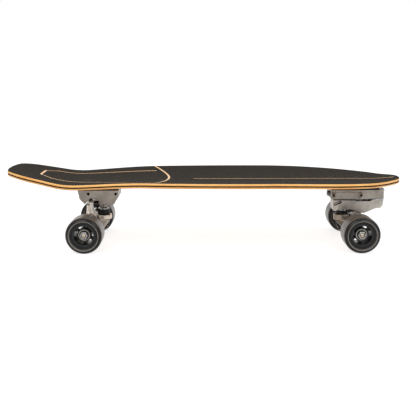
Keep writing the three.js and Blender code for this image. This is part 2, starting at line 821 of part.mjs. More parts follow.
// Wheel core: bearing hub, rim under the tyre, and a web with a ring of windows
function wheelCore(y) {
  const rimInner = coreRadius - coreRimWall;
  const hubInner = bearingRadius + gap;
  const hubOuter = hubInner + hubWall;
  const hubHalf = bearingSpacing / 2 + bearingWidth + hubOverlap;
  const rimHalf = wheelWidth / 2 - faceRecess - gap;
  const webHalf = webThickness / 2;
  const core = turnedAcross([
    [hubInner, -hubHalf], [hubOuter, -hubHalf], [hubOuter, -webHalf], [rimInner, -webHalf],
    [rimInner, -rimHalf], [coreRadius, -rimHalf], [coreRadius, rimHalf], [rimInner, rimHalf],
    [rimInner, webHalf], [hubOuter, webHalf], [hubOuter, hubHalf], [hubInner, hubHalf], [hubInner, -hubHalf],
  ], coreSides, y);
  const step = Math.PI * 2 / windowCount;
  const spread = step * windowAngleShare / 2;
  let windows = null;
  for (let i = 0; i < windowCount; i += 1) {
    const window = new THREE.Shape();
    window.absarc(0, 0, rimInner - gap, i * step - spread, i * step + spread, false);
    window.absarc(0, 0, hubOuter + gap, i * step + spread, i * step - spread, true);
    const cut = acrossBoard(window, webThickness + overrun, y, windowSteps);
    windows = windows ? windows.add(cut) : cut;
  }
  return core.subtract(windows);
}

// Two ball bearings with the spacer between them and a speed ring outside each
function bearingSet(y) {
  const bore = axleRadius + gap;
  const inner = bearingSpacing / 2;
  const outer = inner + bearingWidth;
  const end = outer + speedRingWidth;
  return turnedAcross([
    [bore, -end], [spacerRadius, -end], [spacerRadius, -outer], [bearingRadius, -outer],
    [bearingRadius, -inner], [spacerRadius, -inner], [spacerRadius, inner], [bearingRadius, inner],
    [bearingRadius, outer], [spacerRadius, outer], [spacerRadius, end], [bore, end], [bore, -end],
  ], bearingSides, y);
}

function wheelParts(end) {
  return sides(end).flatMap(([side, sign]) => {
    const y = sign * trackHalf;
    return [
      part(`${end}_${side}_tyre`, tyre(y), urethane),
      part(`${end}_${side}_wheel_core`, wheelCore(y), coreBlack),
      part(`${end}_${side}_bearings`, bearingSet(y), steel),
    ];
  });
}

// Bolt holes of one truck in its own frame
function localHoles(holes, axleX, turn) {
  const mesh = holes.getMesh();
  const geometry = new THREE.BufferGeometry();
  geometry.setAttribute('position', new THREE.BufferAttribute(mesh.vertProperties, 3));
  geometry.setIndex(new THREE.BufferAttribute(mesh.triVerts, 1));
  geometry.translate(-axleX, 0, -wheelRadius);
  geometry.rotateZ(turn);
  return solid(geometry);
}

// Rear base plate: two cheeks joined at the top, with the kingpin boss and the pivot boss between them
function rearBase(lean, holes) {
  const cheek = new THREE.Shape();
  cheek.moveTo(rearBaseBack, baseTop);
  cheek.lineTo(rearLobeSideX, rearLobeSideZ);
  cheek.lineTo(rearLobeX, rearLobeZ);
  cheek.lineTo(rearNotchX, rearNotchZ);
  cheek.lineTo(rearArchX, rearArchZ);
  cheek.lineTo(rearArchSideX, rearArchSideZ);
  cheek.lineTo(rearArchLowX, rearArchLowZ);
  cheek.lineTo(rearKeelStart, rearKeelZ + rearKeelRise);
  cheek.lineTo(rearKeelEnd, rearKeelZ);
  cheek.lineTo(rearCheekX, rearCheekZ);
  cheek.lineTo(rearFrontSideX, rearFrontSideZ);
  cheek.lineTo(rearBaseFront, baseTop);
  const channel = polygon([
    [rearBaseBack - overrun, 0], [rearBaseFront + overrun, 0],
    [rearBaseFront + overrun, rearChannelTop], [rearBaseBack - overrun, rearChannelTop],
  ]);
  const { bossEnd } = kingpinStack(lean.ringTop);
  let base = acrossBoard(cheek, baseWidth)
    .subtract(acrossBoard(channel, 2 * rearChannelHalf))
    .add(kingpinBoss(lean.kingpinX, bossEnd, rearHeadSeat))
    .add(cupBoss(lean))
    .subtract(cupRoom(lean))
    .subtract(kingpinRoom(lean.kingpinX, rearHeadSeat, baseTop))
    .subtract(holes);
  const seat = baseTop - rearFlange;
  for (const alongSign of [-1, 1]) {
    for (const acrossSign of [-1, 1]) {
      const x = rearBoltsX + alongSign * boltSpacingX / 2;
      const y = acrossSign * boltSpacingY / 2;
      const hole = new THREE.Shape().absarc(x, baseTop - sideHoleDrop, sideHoleRadius, 0, 2 * Math.PI, false);
      base = base
        .subtract(turned(pinProfile(nutPocketRadius, 0, seat), smallSides, x, y))
        .subtract(acrossBoard(hole, baseWidth / 2 - boltSpacingY / 2, acrossSign * baseWidth / 2));
    }
  }
  return base;
}

function rearTruck(holes) {
  const truck = new THREE.Group();
  const lean = leanAxis(rearPivotX, rearPivotZ, rearKingpinX, rearRingTop);
  const own = localHoles(holes, rearAxleX, 0);
  truck.position.set(rearAxleX, 0, wheelRadius);
  truck.add(
    part('rear_riser_pad', riserPad(rearBaseBack + riserInset, rearBaseFront - riserInset).subtract(own),
      blackPlastic),
    part('rear_base_plate', rearBase(lean, own), castMetal),
    part('rear_pivot_cup', pivotCup(lean), bushingBlack),
    part('rear_hanger', hanger(lean, rearWingTop), castMetal),
    ...kingpinParts('rear', lean, rearHeadSeat),
    ...axleParts('rear'),
    ...wheelParts('rear'),
  );
  return truck;
}

// Plan of the housing or its ledge: square at one end, drawn in to a round end about the post
function housingPlan(inset) {
  const half = baseWidth / 2 - inset;
  const radius = housingPostRadius - inset;
  const lean = Math.acos((half - radius) / (housingShoulderX - postX));
  const plan = new THREE.Shape();
  plan.moveTo(housingEnd - inset, -half);
  plan.lineTo(housingEnd - inset, half);
  plan.lineTo(housingShoulderX, half);
  plan.absarc(postX, 0, radius, lean, 2 * Math.PI - lean, false);
  plan.lineTo(housingShoulderX, -half);
  return plan;
}

// Spring housing: ledge and body with a drafted nose, the post bore, spring pocket and nut recesses
function springHousing(holes) {
  const nose = postX - housingPostRadius;
  const side = polygon([
    [housingEnd, baseTop], [housingEnd, housingFloor], [nose + housingNoseDraft, housingFloor],
    [nose, baseTop - housingChamferZ], [nose + housingChamferX, baseTop],
  ]);
  const ledgeFloor = baseTop - ledgeHeight;
  const boreRadius = barrelRadius + gap + sleeveWall + gap;
  let housing = upright(housingPlan(ledgeStep), housingFloor, ledgeFloor + gap)
    .add(upright(housingPlan(0), ledgeFloor, baseTop));
  for (const acrossSign of [-1, 1]) {
    const x = frontBoltsX - boltSpacingX / 2;
    const boss = new THREE.Shape().absarc(x, springAxisZ, sideBossRadius, 0, 2 * Math.PI, false);
    housing = housing.add(acrossBoard(boss, 2 * ledgeStep, acrossSign * (baseWidth / 2 - ledgeStep)));
  }
  const slotEnd = housingEnd - housingEndWall;
  const slot = polygon([[postX, -pocketHalf], [slotEnd, -pocketHalf], [slotEnd, pocketHalf], [postX, pocketHalf]]);
  housing = housing
    .intersect(acrossBoard(side, 2 * baseWidth))
    .subtract(upright(slot, housingFloor + pocketFloor, baseTop + overrun))
    .subtract(turned(pinProfile(boreRadius, housingFloor - overrun, baseTop), roundSides, postX))
    .subtract(turned(pinProfile(retainerRadius + gap, retainerSeat, baseTop + overrun), roundSides, postX))
    .subtract(turnedAlong(pinProfile(adjusterRadius + gap, slotEnd - overrun, housingEnd + overrun), smallSides,
      springAxisZ))
    .subtract(holes);
  for (const alongSign of [-1, 1]) {
    for (const acrossSign of [-1, 1]) {
      const x = frontBoltsX + alongSign * boltSpacingX / 2;
      const y = acrossSign * boltSpacingY / 2;
      const hole = new THREE.Shape().absarc(x, springAxisZ, sideHoleRadius, 0, 2 * Math.PI, false);
      const nutTop = housingFloor + frontNutDepth;
      housing = housing
        .subtract(turned(pinProfile(nutPocketRadius, housingFloor - overrun, nutTop), smallSides, x, y))
        .subtract(acrossBoard(hole, baseWidth / 2 - boltSpacingY / 2, acrossSign * baseWidth / 2));
    }
  }
  return housing;
}

// Swing arm: side view cut by its plan, hollow below round the bushing and the pivot nose
function swingArm(lean) {
  const side = new THREE.Shape();
  side.moveTo(armTailX, armTop);
  side.lineTo(armReliefStart, armTop);
  side.lineTo(armReliefStart, armTop - armReliefDepth);
  side.lineTo(armReliefEnd, armTop - armReliefDepth);
  side.lineTo(armReliefEnd, armTop);
  side.lineTo(armNoseX, armTop);
  side.lineTo(armNoseX + armHeelChamfer, armHeelZ + armHeelDrop + armHeelChamfer);
  side.lineTo(armNoseX + 2 * armHeelChamfer, armHeelZ + armHeelDrop);
  side.lineTo(armHeelX, armHeelZ);
  side.quadraticCurveTo((armHeelX + armKeelX) / 2, armHeelZ - armHeelChamfer, armKeelX, armKeelZ);
  side.quadraticCurveTo(0, armArchZ, armArchX, armArchZ);
  side.quadraticCurveTo((armArchX + armTailX) / 2, armArchZ, armTailX - armTailChamfer,
    armTailZ - armTailChamfer);
  side.lineTo(armTailX, armTailZ);
  const plan = new THREE.Shape();
  plan.moveTo(armTailX, -armTailHalf);
  plan.lineTo(armTailX, armTailHalf);
  plan.quadraticCurveTo(armTailX, armHalfWidth, armFlankEnd, armHalfWidth);
  plan.lineTo(armFlankStart, armHalfWidth);
  plan.quadraticCurveTo((armFlankStart + postX) / 2, armHubRadius, postX, armHubRadius);
  plan.absarc(postX, 0, armHubRadius, Math.PI / 2, Math.PI * 1.5, false);
  plan.quadraticCurveTo((armFlankStart + postX) / 2, -armHubRadius, armFlankStart, -armHalfWidth);
  plan.lineTo(armFlankEnd, -armHalfWidth);
  plan.quadraticCurveTo(armTailX, -armHalfWidth, armTailX, -armTailHalf);
  const channel = polygon([
    [frontPivotX, 0], [armChannelEnd, 0], [armChannelEnd, armChannelTop], [frontPivotX, armChannelTop],
  ]);
  const { bossEnd } = kingpinStack(lean.ringTop);
  let arm = acrossBoard(side, 2 * baseWidth)
    .intersect(upright(plan, 0, armTop + overrun))
    .subtract(acrossBoard(channel, 2 * armChannelHalf))
    .add(kingpinBoss(lean.kingpinX, bossEnd, frontHeadSeat))
    .add(cupBoss(lean))
    .subtract(cupRoom(lean))
    .subtract(kingpinRoom(lean.kingpinX, frontHeadSeat, armTop))
    .subtract(turned(pinProfile(spigotRadius + gap, armHeelZ + armHeelDrop + armBoreFloor, armTop + overrun),
      roundSides, postX));
  for (const acrossSign of [-1, 1]) {
    const slant = Math.atan2(-armRecessFall, armRecessEnd - armRecessStart);
    const recess = new THREE.Shape();
    recess.absarc(armRecessStart, armRecessZ, armRecessRadius, slant + Math.PI / 2, slant + Math.PI * 1.5, false);
    recess.absarc(armRecessEnd, armRecessZ - armRecessFall, armRecessRadius, slant - Math.PI / 2, slant + Math.PI / 2,
      false);
    const depth = (armHalfWidth - armTailHalf - armRecessDepth) * 2;
    arm = arm.subtract(acrossBoard(recess, depth, acrossSign * armHalfWidth));
  }
  return arm;
}

// Post of the swing arm: a spigot pressed in the arm and a barrel with a window for the rod
function armPost() {
  const foot = armHeelZ + armHeelDrop + armBoreFloor + gap;
  const barrelFoot = armTop + gap;
  const grooveFloor = retainerSeat;
  const grooveTop = retainerSeat + retainerThickness + 2 * gap;
  const low = springAxisZ - windowHalfHeight;
  const high = springAxisZ + windowHalfHeight;
  const window = polygon([
    [postX, -barrelWindowHalf], [postX + 2 * barrelRadius, -barrelWindowHalf],
    [postX + 2 * barrelRadius, barrelWindowHalf], [postX, barrelWindowHalf],
  ]);
  return turned([
    [0, foot], [spigotRadius, foot], [spigotRadius, barrelFoot], [barrelRadius, barrelFoot],
    [barrelRadius, grooveFloor], [barrelRadius - grooveDepth, grooveFloor],
    [barrelRadius - grooveDepth, grooveTop], [barrelRadius, grooveTop], [barrelRadius, baseTop], [0, baseTop],
  ], roundSides, postX)
    .subtract(turned(pinProfile(barrelBore, low, high), roundSides, postX))
    .subtract(upright(window, low, high));
}

// Needle bearing sleeve with its own window, the thrust bearing under it and the ring that keeps the post in
function postBearings() {
  const inner = barrelRadius + gap;
  const low = springAxisZ - windowHalfHeight;
  const high = springAxisZ + windowHalfHeight;
  const window = polygon([
    [postX, -sleeveWindowHalf], [postX + 2 * barrelRadius, -sleeveWindowHalf],
    [postX + 2 * barrelRadius, sleeveWindowHalf], [postX, sleeveWindowHalf],
  ]);
  const sleeve = turned(ringProfile(inner, inner + sleeveWall, housingFloor, retainerSeat - gap), roundSides, postX)
    .subtract(upright(window, low, high));
  const thrust = ringProfile(inner, thrustRadius, armTop + gap, housingFloor - gap);
  const keeper = ringProfile(barrelRadius - grooveDepth + gap, retainerRadius, retainerSeat + gap,
    retainerSeat + gap + retainerThickness);
  return [
    part('front_needle_bearing', sleeve, steel),
    part('front_thrust_bearing', turned(thrust, roundSides, postX), steel),
    part('front_retaining_ring', turned(keeper, roundSides, postX), springSteel),
  ];
}

// Return spring: one unbroken helix of five-sided wire along x, its ends cut square
function springCoil(start) {
  const steps = springCurls * springSteps;
  const pitch = (springLength - 2 * springWireRadius) / springCurls;
  const slope = Math.atan2(pitch / (2 * Math.PI), springMeanRadius);
  const rings = [];
  const indices = [];
  for (let i = 0; i <= steps; i += 1) {
    const turn = Math.PI * 2 * i / springSteps;
    const out = new THREE.Vector3(0, Math.cos(turn), Math.sin(turn));
    const along = new THREE.Vector3(1, 0, 0);
    const ahead = new THREE.Vector3(0, -Math.sin(turn), Math.cos(turn));
    const across = along.multiplyScalar(Math.cos(slope)).addScaledVector(ahead, -Math.sin(slope));
    const x = start + springWireRadius + pitch * i / springSteps;
    for (let j = 0; j < springSides; j += 1) {
      const angle = Math.PI * 2 * j / springSides;
      rings.push(new THREE.Vector3(x, 0, springAxisZ)
        .addScaledVector(out, springMeanRadius + springWireRadius * Math.cos(angle))
        .addScaledVector(across, springWireRadius * Math.sin(angle)));
    }
  }
  for (let i = 0; i < steps; i += 1) {
    for (let j = 0; j < springSides; j += 1) {
      const next = (j + 1) % springSides;
      const [a, b] = [i * springSides + j, i * springSides + next];
      indices.push(a, b, b + springSides, a, b + springSides, a + springSides);
    }
  }
  for (let j = 1; j < springSides - 1; j += 1) {
    const last = steps * springSides;
    indices.push(0, j + 1, j, last, last + j, last + j + 1);
  }
  let least = Infinity;
  const curl = springSides * springSteps;
  for (let i = 0; i < rings.length; i += 1) {
    for (let k = i + curl / 2; k < rings.length; k += 1) {
      least = Math.min(least, rings[i].distanceTo(rings[k]));
    }
  }
  console.log(`return spring: least gap between curls ${least.toFixed(2)} mm`);
  if (least < springGapLeast) throw new Error('the curls of the return spring touch');
  const geometry = new THREE.BufferGeometry().setFromPoints(rings);
  geometry.setIndex(indices);
  return solid(geometry);
}

// Plunger, rod, spring and adjuster in the spring pocket
function springParts() {
  const plungerBack = plungerX + plungerLength;
  const socket = rodBallRadius + gap;
  const plunger = turnedAlong([
    [0, plungerX + socketDepth], [socket * Math.SQRT1_2, plungerX + socketDepth * Math.SQRT1_2],
    [socket, plungerX], [plungerRadius, plungerX], [plungerRadius, plungerBack],
    [plungerSpigotRadius, plungerBack], [plungerSpigotRadius, plungerBack + plungerSpigotLength],
    [0, plungerBack + plungerSpigotLength],
  ], roundSides, springAxisZ);
  const near = plungerX - rodEntry;
  const far = postX - rodCrank;
  const neck = rodBallRadius * Math.SQRT1_2;
  const rod = turnedAlong([
    [0, far - rodBallRadius], [neck, far - neck], [rodBallRadius, far], [rodRadius, far + rodBallRadius],
    [rodRadius, near - rodBallRadius], [rodBallRadius, near], [neck, near + neck], [0, near + rodBallRadius],
  ], smallSides, springAxisZ);
  const springStart = plungerBack + gap;
  const seat = springStart + springLength + gap;
  const stubEnd = housingEnd + adjusterStub;
  const adjuster = turnedAlong([
    [0, seat], [adjusterSeatRadius, seat], [adjusterSeatRadius, seat + adjusterSeatLength],
    [adjusterRadius, seat + adjusterSeatLength], [adjusterRadius, stubEnd], [adjusterSocketRadius, stubEnd],
    [adjusterSocketRadius, stubEnd - adjusterSocketDepth], [0, stubEnd - adjusterSocketDepth],
  ], smallSides, springAxisZ);
  return [
    part('front_spring_plunger', plunger, steel),
    part('front_push_rod', rod, steel),
    part('front_return_spring', springCoil(springStart), springSteel),
    part('front_spring_adjuster', adjuster, springSteel),
  ];
}

function frontTruck(holes) {
  const truck = new THREE.Group();
  const lean = leanAxis(frontPivotX, frontPivotZ, frontKingpinX, frontRingTop);
  const own = localHoles(holes, frontAxleX, Math.PI);
  truck.position.set(frontAxleX, 0, wheelRadius);
  truck.rotation.z = Math.PI;
  truck.add(
    part('front_riser_pad', riserPad(postX - riserInset, housingEnd - riserInset).subtract(own), blackPlastic),
    part('front_spring_housing', springHousing(own), castMetal),
    part('front_swing_arm', swingArm(lean), castMetal),
    part('front_arm_post', armPost(), steel),
    ...postBearings(),
    ...springParts(),
    part('front_pivot_cup', pivotCup(lean), bushingBlack),
    part('front_hanger', hanger(lean, frontWingTop), castMetal),
    ...kingpinParts('front', lean, frontHeadSeat),
    ...axleParts('front'),
    ...wheelParts('front'),
  );
  return truck;
}

const holes = boltHoles();
const board = new THREE.Group();
board.add(...deckParts(holes), ...boltPlaces.map(deckBolt), rearTruck(holes), frontTruck(holes));

export default board;
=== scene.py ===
import json
import math

import bmesh
import bpy
import numpy as np
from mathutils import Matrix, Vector


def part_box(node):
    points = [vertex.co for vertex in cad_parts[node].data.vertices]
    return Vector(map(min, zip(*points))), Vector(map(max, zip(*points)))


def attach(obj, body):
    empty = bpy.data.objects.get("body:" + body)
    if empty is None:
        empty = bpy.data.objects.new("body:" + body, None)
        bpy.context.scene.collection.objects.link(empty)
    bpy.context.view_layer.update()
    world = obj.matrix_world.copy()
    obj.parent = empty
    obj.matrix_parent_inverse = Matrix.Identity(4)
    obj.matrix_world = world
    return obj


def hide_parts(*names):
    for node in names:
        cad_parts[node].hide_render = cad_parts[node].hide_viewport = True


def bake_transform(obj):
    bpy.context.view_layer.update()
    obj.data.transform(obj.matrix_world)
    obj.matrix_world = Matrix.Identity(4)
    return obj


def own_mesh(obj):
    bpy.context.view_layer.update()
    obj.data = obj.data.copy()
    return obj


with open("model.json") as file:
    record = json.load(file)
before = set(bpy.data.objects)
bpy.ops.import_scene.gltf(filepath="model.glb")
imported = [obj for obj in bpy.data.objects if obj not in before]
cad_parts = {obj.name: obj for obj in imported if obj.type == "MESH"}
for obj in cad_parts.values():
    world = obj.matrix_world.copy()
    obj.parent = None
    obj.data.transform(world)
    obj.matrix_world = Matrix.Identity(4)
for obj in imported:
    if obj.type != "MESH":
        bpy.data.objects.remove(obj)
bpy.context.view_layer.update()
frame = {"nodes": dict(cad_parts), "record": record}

mm = 0.001  # all shapes below are worked out in millimetres
nodes = frame["nodes"]
scene = bpy.context.scene


# Camera

camera = {
    "focalPixels": 728.7, "imagePixels": 416, "place": (-5.0, -1449.0, 359.0), "pitch": 11.40,
    "yaw": 0.41, "sensor": 36.0, "clipStart": 0.02}


def placeCamera(cfg):
    # lens in millimetres: the sensor's width times the focal length over the image's width, both in pixels
    lens = bpy.data.cameras.new("camera")
    lens.sensor_width = cfg["sensor"]
    lens.lens = cfg["sensor"] * cfg["focalPixels"] / cfg["imagePixels"]
    lens.clip_start = cfg["clipStart"]
    eye = bpy.data.objects.new("camera", lens)
    eye.location = Vector(cfg["place"]) * mm
    eye.rotation_euler = (math.radians(90 - cfg["pitch"]), 0, math.radians(-cfg["yaw"]))
    scene.collection.objects.link(eye)
    scene.camera = eye


placeCamera(camera)


# Small helpers for node trees

finishes = {}


def newMaterial(name):
    mat = bpy.data.materials.new(name)
    mat.use_nodes = True
    finishes[name] = mat
    return mat.node_tree, mat.node_tree.nodes["Principled BSDF"]


def setInputs(tree, node, values):
    # another node's output is linked, anything else is the socket's own value
    for key, value in values.items():
        if hasattr(value, "links"):
            tree.links.new(value, node.inputs[key])
        else:
            node.inputs[key].default_value = value


def addNode(tree, kind, values, **settings):
    node = tree.nodes.new(f"ShaderNode{kind}")
    for key, value in settings.items():
        setattr(node, key, value)
    setInputs(tree, node, values)
    return node


def linear(rgb):
    # sRGB bytes to linear light: ((c + 0.055) / 1.055) ** 2.4 above the toe, c / 12.92 in it
    c = np.array(rgb, float) / 255
    return tuple(np.where(c > 0.04045, ((c + 0.055) / 1.055) ** 2.4, c / 12.92)) + (1.0,)


def grey(value):
    return (value, value, value, 1.0)


def objectCoords(tree, stretch=(1, 1, 1)):
    where = addNode(tree, "TexCoord", {}).outputs["Object"]
    return addNode(tree, "Mapping", {"Vector": where, "Scale": stretch}).outputs["Vector"]


def noise(tree, coords, scale, detail, rough):
    values = {"Vector": coords, "Scale": scale, "Detail": detail, "Roughness": rough}
    return addNode(tree, "TexNoise", values).outputs["Fac"]


def ramp(tree, fac, stops, tones):
    # each tone is sRGB bytes or one grey value
    node = addNode(tree, "ValToRGB", {"Fac": fac})
    while len(node.color_ramp.elements) < len(stops):
        node.color_ramp.elements.new(0.5)
    for element, place, tone in zip(node.color_ramp.elements, stops, tones):
        element.position = place
        element.color = linear(tone) if isinstance(tone, tuple) else grey(tone)
    return node.outputs["Color"]


def combine(tree, operation, a, b):
    return addNode(tree, "Math", {0: a, 1: b}, operation=operation).outputs[0]


def mixColour(tree, fac, a, b, blend="MIX"):
    # a colour mix has its factor at socket 0, its colours at 6 and 7 and its result at output 2
    values = {0: fac, 6: a, 7: b}
    return addNode(tree, "Mix", values, data_type="RGBA", blend_type=blend).outputs[2]


def bump(tree, height, cfg):
    values = {"Height": height, "Distance": cfg["depth"], "Strength": cfg["strength"]}
    return addNode(tree, "Bump", values).outputs["Normal"]


# Finishes: colours are sRGB bytes, depths are metres; a noise is its scale, detail and roughness, or the
# last two of them where the pieces' table has the scale

gripLook = {
    "colour": (42, 36, 29), "dark": (25, 20, 15), "sparkle": (96, 86, 74), "grain": 2600.0,
    "mottle": (420.0, 4.0, 0.65), "mottleStops": (0.3, 0.62), "glintStops": (0.86, 0.94),
    "roughness": 0.92, "spec": 0.12, "depth": 0.00022, "strength": 0.6}


def gripMaterial(name, cfg):
    # grit: fine voronoi grains over a slow mottle, a few grains catch the light
    tree, bsdf = newMaterial(name)
    at = objectCoords(tree)
    grains = addNode(tree, "TexVoronoi", {"Vector": at, "Scale": cfg["grain"]})
    mottle = noise(tree, at, *cfg["mottle"])
    base = ramp(tree, mottle, cfg["mottleStops"], (cfg["dark"], cfg["colour"]))
    glint = ramp(tree, grains.outputs["Color"], cfg["glintStops"], (0.0, 1.0))
    setInputs(tree, bsdf, {
        "Base Color": mixColour(tree, glint, base, linear(cfg["sparkle"])), "Roughness": cfg["roughness"],
        "Specular IOR Level": cfg["spec"], "Normal": bump(tree, grains.outputs["Distance"], cfg)})


woodLook = {
    "light": (252, 195, 112), "dark": (232, 168, 86), "line": (176, 110, 54), "roughness": 0.34,
    "figureStretch": (2.2, 26, 26), "figure": (3.0, 5.0, 0.55), "figureStops": (0.28, 0.68),
    "poreStretch": (6, 420, 420), "pores": (4.0, 3.0, 0.6), "poreStops": (0.36, 0.5),
    "poreShade": 0.35, "coat": 0.25, "coatRoughness": 0.12, "spec": 0.5, "depth": 0.00008,
    "strength": 0.4}
woods = {
    "mapleVeneer": woodLook,
    "darkVeneer": dict(woodLook, light=(50, 27, 10), dark=(34, 18, 6), line=(34, 18, 6), roughness=0.7,
                       coat=0.0, spec=0.12),
    # the bottom plies' maple is the same maple painted darker, as painted shade on the lower plies
    "shadedLowerMaple": dict(woodLook, light=(240, 180, 102), dark=(216, 150, 76), line=(162, 98, 46),
                       roughness=0.38)}


def woodMaterial(name, cfg):
    # veneer: long figure along the board, fine dark pores drawn out with it, lacquer on top
    tree, bsdf = newMaterial(name)
    figure = noise(tree, objectCoords(tree, cfg["figureStretch"]), *cfg["figure"])
    pores = noise(tree, objectCoords(tree, cfg["poreStretch"]), *cfg["pores"])
    body = ramp(tree, figure, cfg["figureStops"], (cfg["dark"], cfg["light"]))
    fleck = ramp(tree, pores, cfg["poreStops"], (1.0, 0.0))
    shade = combine(tree, "MULTIPLY", fleck, cfg["poreShade"])
    setInputs(tree, bsdf, {
        "Base Color": mixColour(tree, shade, body, linear(cfg["line"])), "Roughness": cfg["roughness"],
        "Specular IOR Level": cfg["spec"], "Coat Weight": cfg["coat"], "Coat Roughness": cfg["coatRoughness"],
        "Normal": bump(tree, pores, cfg)})


castLook = {
    "colour": (150, 143, 134), "dark": (118, 111, 103), "bright": (182, 175, 166),
    # the corner colour is painted shade: corners and the gaps between parts are darkened towards it
    "dirt": (34, 30, 27), "metal": 0.75, "roughness": (0.24, 0.48),
    "specks": (900.0, 4.0, 0.75), "speckStops": (0.3, 0.5, 0.7),
    # the slow clouds are painted shading and reflection: patches that darken and lighten the casting
    "cloud": (45.0, 3.0, 0.5), "cloudStops": (0.36, 0.62), "cloudTones": (0.78, 1.04),
    "cornerReach": 0.015, "cornerRays": 8, "cornerStops": (0.25, 0.72),
    "depth": 0.00022, "strength": 0.8}
# copies of the one casting painted lighter and darker: the rear hanger's and the swing arm's copies are
# painted light, the front hanger's copy is painted shade
casts = {
    "castMetal": castLook,
    "litHangerMetal": dict(castLook, colour=(218, 208, 196), dark=(184, 174, 163), bright=(246, 238, 228)),
    "litArmMetal": dict(castLook, colour=(172, 166, 158), dark=(142, 136, 128), bright=(202, 196, 188)),
    "shadedMetal": dict(castLook, colour=(146, 134, 122), dark=(110, 100, 90), bright=(186, 174, 162))}


def castMaterial(name, cfg):
    # tumbled casting: fine bright and dark specks times slow clouds of painted shading and reflection times
    # painted shade in the corners and between parts
    tree, bsdf = newMaterial(name)
    at = objectCoords(tree)
    cloud = noise(tree, at, *cfg["cloud"])
    specks = noise(tree, at, *cfg["specks"])
    tone = ramp(tree, specks, cfg["speckStops"], (cfg["dark"], cfg["colour"], cfg["bright"]))
    # painted shading and reflection: the slow clouds as a factor on the specks
    patch = ramp(tree, cloud, cfg["cloudStops"], cfg["cloudTones"])
    # painted shade: darker where ambient occlusion finds surfaces within the corner reach
    corner = addNode(tree, "AmbientOcclusion", {"Distance": cfg["cornerReach"]}, samples=cfg["cornerRays"])
    dirt = ramp(tree, corner.outputs["AO"], cfg["cornerStops"], (cfg["dirt"], 1.0))
    body = mixColour(tree, 1.0, tone, patch, "MULTIPLY")
    low, high = cfg["roughness"]
    rough = addNode(tree, "MapRange", {"Value": specks, "To Min": low, "To Max": high})
    setInputs(tree, bsdf, {
        "Base Color": mixColour(tree, 1.0, body, dirt, "MULTIPLY"), "Metallic": cfg["metal"],
        "Roughness": rough.outputs[0], "Normal": bump(tree, specks, cfg)})


steelLook = {
    "patch": (180.0, 3.0, 0.6), "patchStops": (0.3, 0.66), "patchShade": 0.78,
    "lineStretch": (1, 6, 1), "lines": (2.0, 0.5), "depth": 0.00004, "strength": 0.5}
# colour, roughness, scale of the turning lines
steels = {
    "zincSteel": ((196, 196, 194), 0.28, 700.0), "springSteel": ((120, 120, 122), 0.34, 700.0),
    "blackSteel": ((44, 43, 42), 0.36, 700.0), "boltSteel": ((24, 22, 20), 0.55, 700.0),
    "raceSteel": ((158, 153, 146), 0.26, 900.0), "axleSteel": ((190, 176, 156), 0.34, 700.0)}


def steelMaterial(name, colour, roughness, turnedLines, cfg=steelLook):
    # plated steel: faint turning lines and a patchy plating tone
    tree, bsdf = newMaterial(name)
    patch = noise(tree, objectCoords(tree), *cfg["patch"])
    darker = tuple(int(c * cfg["patchShade"]) for c in colour)
    lines = noise(tree, objectCoords(tree, cfg["lineStretch"]), turnedLines, *cfg["lines"])
    setInputs(tree, bsdf, {
        "Base Color": ramp(tree, patch, cfg["patchStops"], (darker, colour)), "Metallic": 1.0,
        "Roughness": roughness, "Normal": bump(tree, lines, cfg)})


mouldedLook = {
    "tone": (90.0, 3.0, 0.5), "toneStops": (0.35, 0.7), "lift": 1.35, "rise": 3,
    "peel": (2.0, 0.5), "strength": 0.5}
# colour, roughness, specular level, scale and depth of the orange peel
plastics = {
    "urethane": ((15, 15, 16), 0.26, 0.22, 1800.0, 0.00003),
    "corePlastic": ((20, 21, 22), 0.34, 0.3, 1400.0, 0.00005),
    "shieldBlack": ((26, 26, 27), 0.5, 0.3, 1400.0, 0.00005),
    "nutNylon": ((70, 66, 60), 0.45, 0.5, 1400.0, 0.00005),
    "riserPlastic": ((14, 13, 13), 0.6, 0.1, 1400.0, 0.00005),
    "bushingRubber": ((18, 18, 19), 0.45, 0.2, 1400.0, 0.00005)}


def mouldedMaterial(name, colour, roughness, spec, grain, depth, cfg=mouldedLook):
    # moulded plastic or urethane: fine orange peel and a slight tone change
    tree, bsdf = newMaterial(name)
    at = objectCoords(tree)
    peel = noise(tree, at, grain, *cfg["peel"])
    tone = noise(tree, at, *cfg["tone"])
    lighter = tuple(min(255, int(c * cfg["lift"] + cfg["rise"])) for c in colour)
    setInputs(tree, bsdf, {
        "Base Color": ramp(tree, tone, cfg["toneStops"], (colour, lighter)), "Roughness": roughness,
        "Specular IOR Level": spec, "Normal": bump(tree, peel, dict(cfg, depth=depth))})


# the worn tone's colour, which is also painted reflection on the tread and a painted highlight on the lip
wearAndSheenLook = {"colour": (146, 140, 132), "wearAndSheenNoise": (500.0, 3.0, 0.6)}


def wearAndSheenOn(mat, cfg):
    # a dusty worn tone over the base colour, partly painted reflection and painted highlight, by the piece's
    # attribute for wear and sheen times a noise
    tree = mat.node_tree
    bsdf = tree.nodes["Principled BSDF"]
    base = bsdf.inputs["Base Color"].links[0].from_socket
    wearAndSheen = addNode(tree, "Attribute", {}, attribute_name="wearAndSheen").outputs["Fac"]
    amount = combine(tree, "MULTIPLY", wearAndSheen, noise(tree, objectCoords(tree), *cfg["wearAndSheenNoise"]))
    setInputs(tree, bsdf, {"Base Color": mixColour(tree, amount, base, linear(cfg["colour"]))})


gripMaterial("gripGrit", gripLook)
for finishName, look in woods.items():
    woodMaterial(finishName, look)
for finishName, look in casts.items():
    castMaterial(finishName, look)
for finishName, look in steels.items():
    steelMaterial(finishName, *look)
for finishName, look in plastics.items():
    mouldedMaterial(finishName, *look)
wearAndSheenOn(finishes["urethane"], wearAndSheenLook)

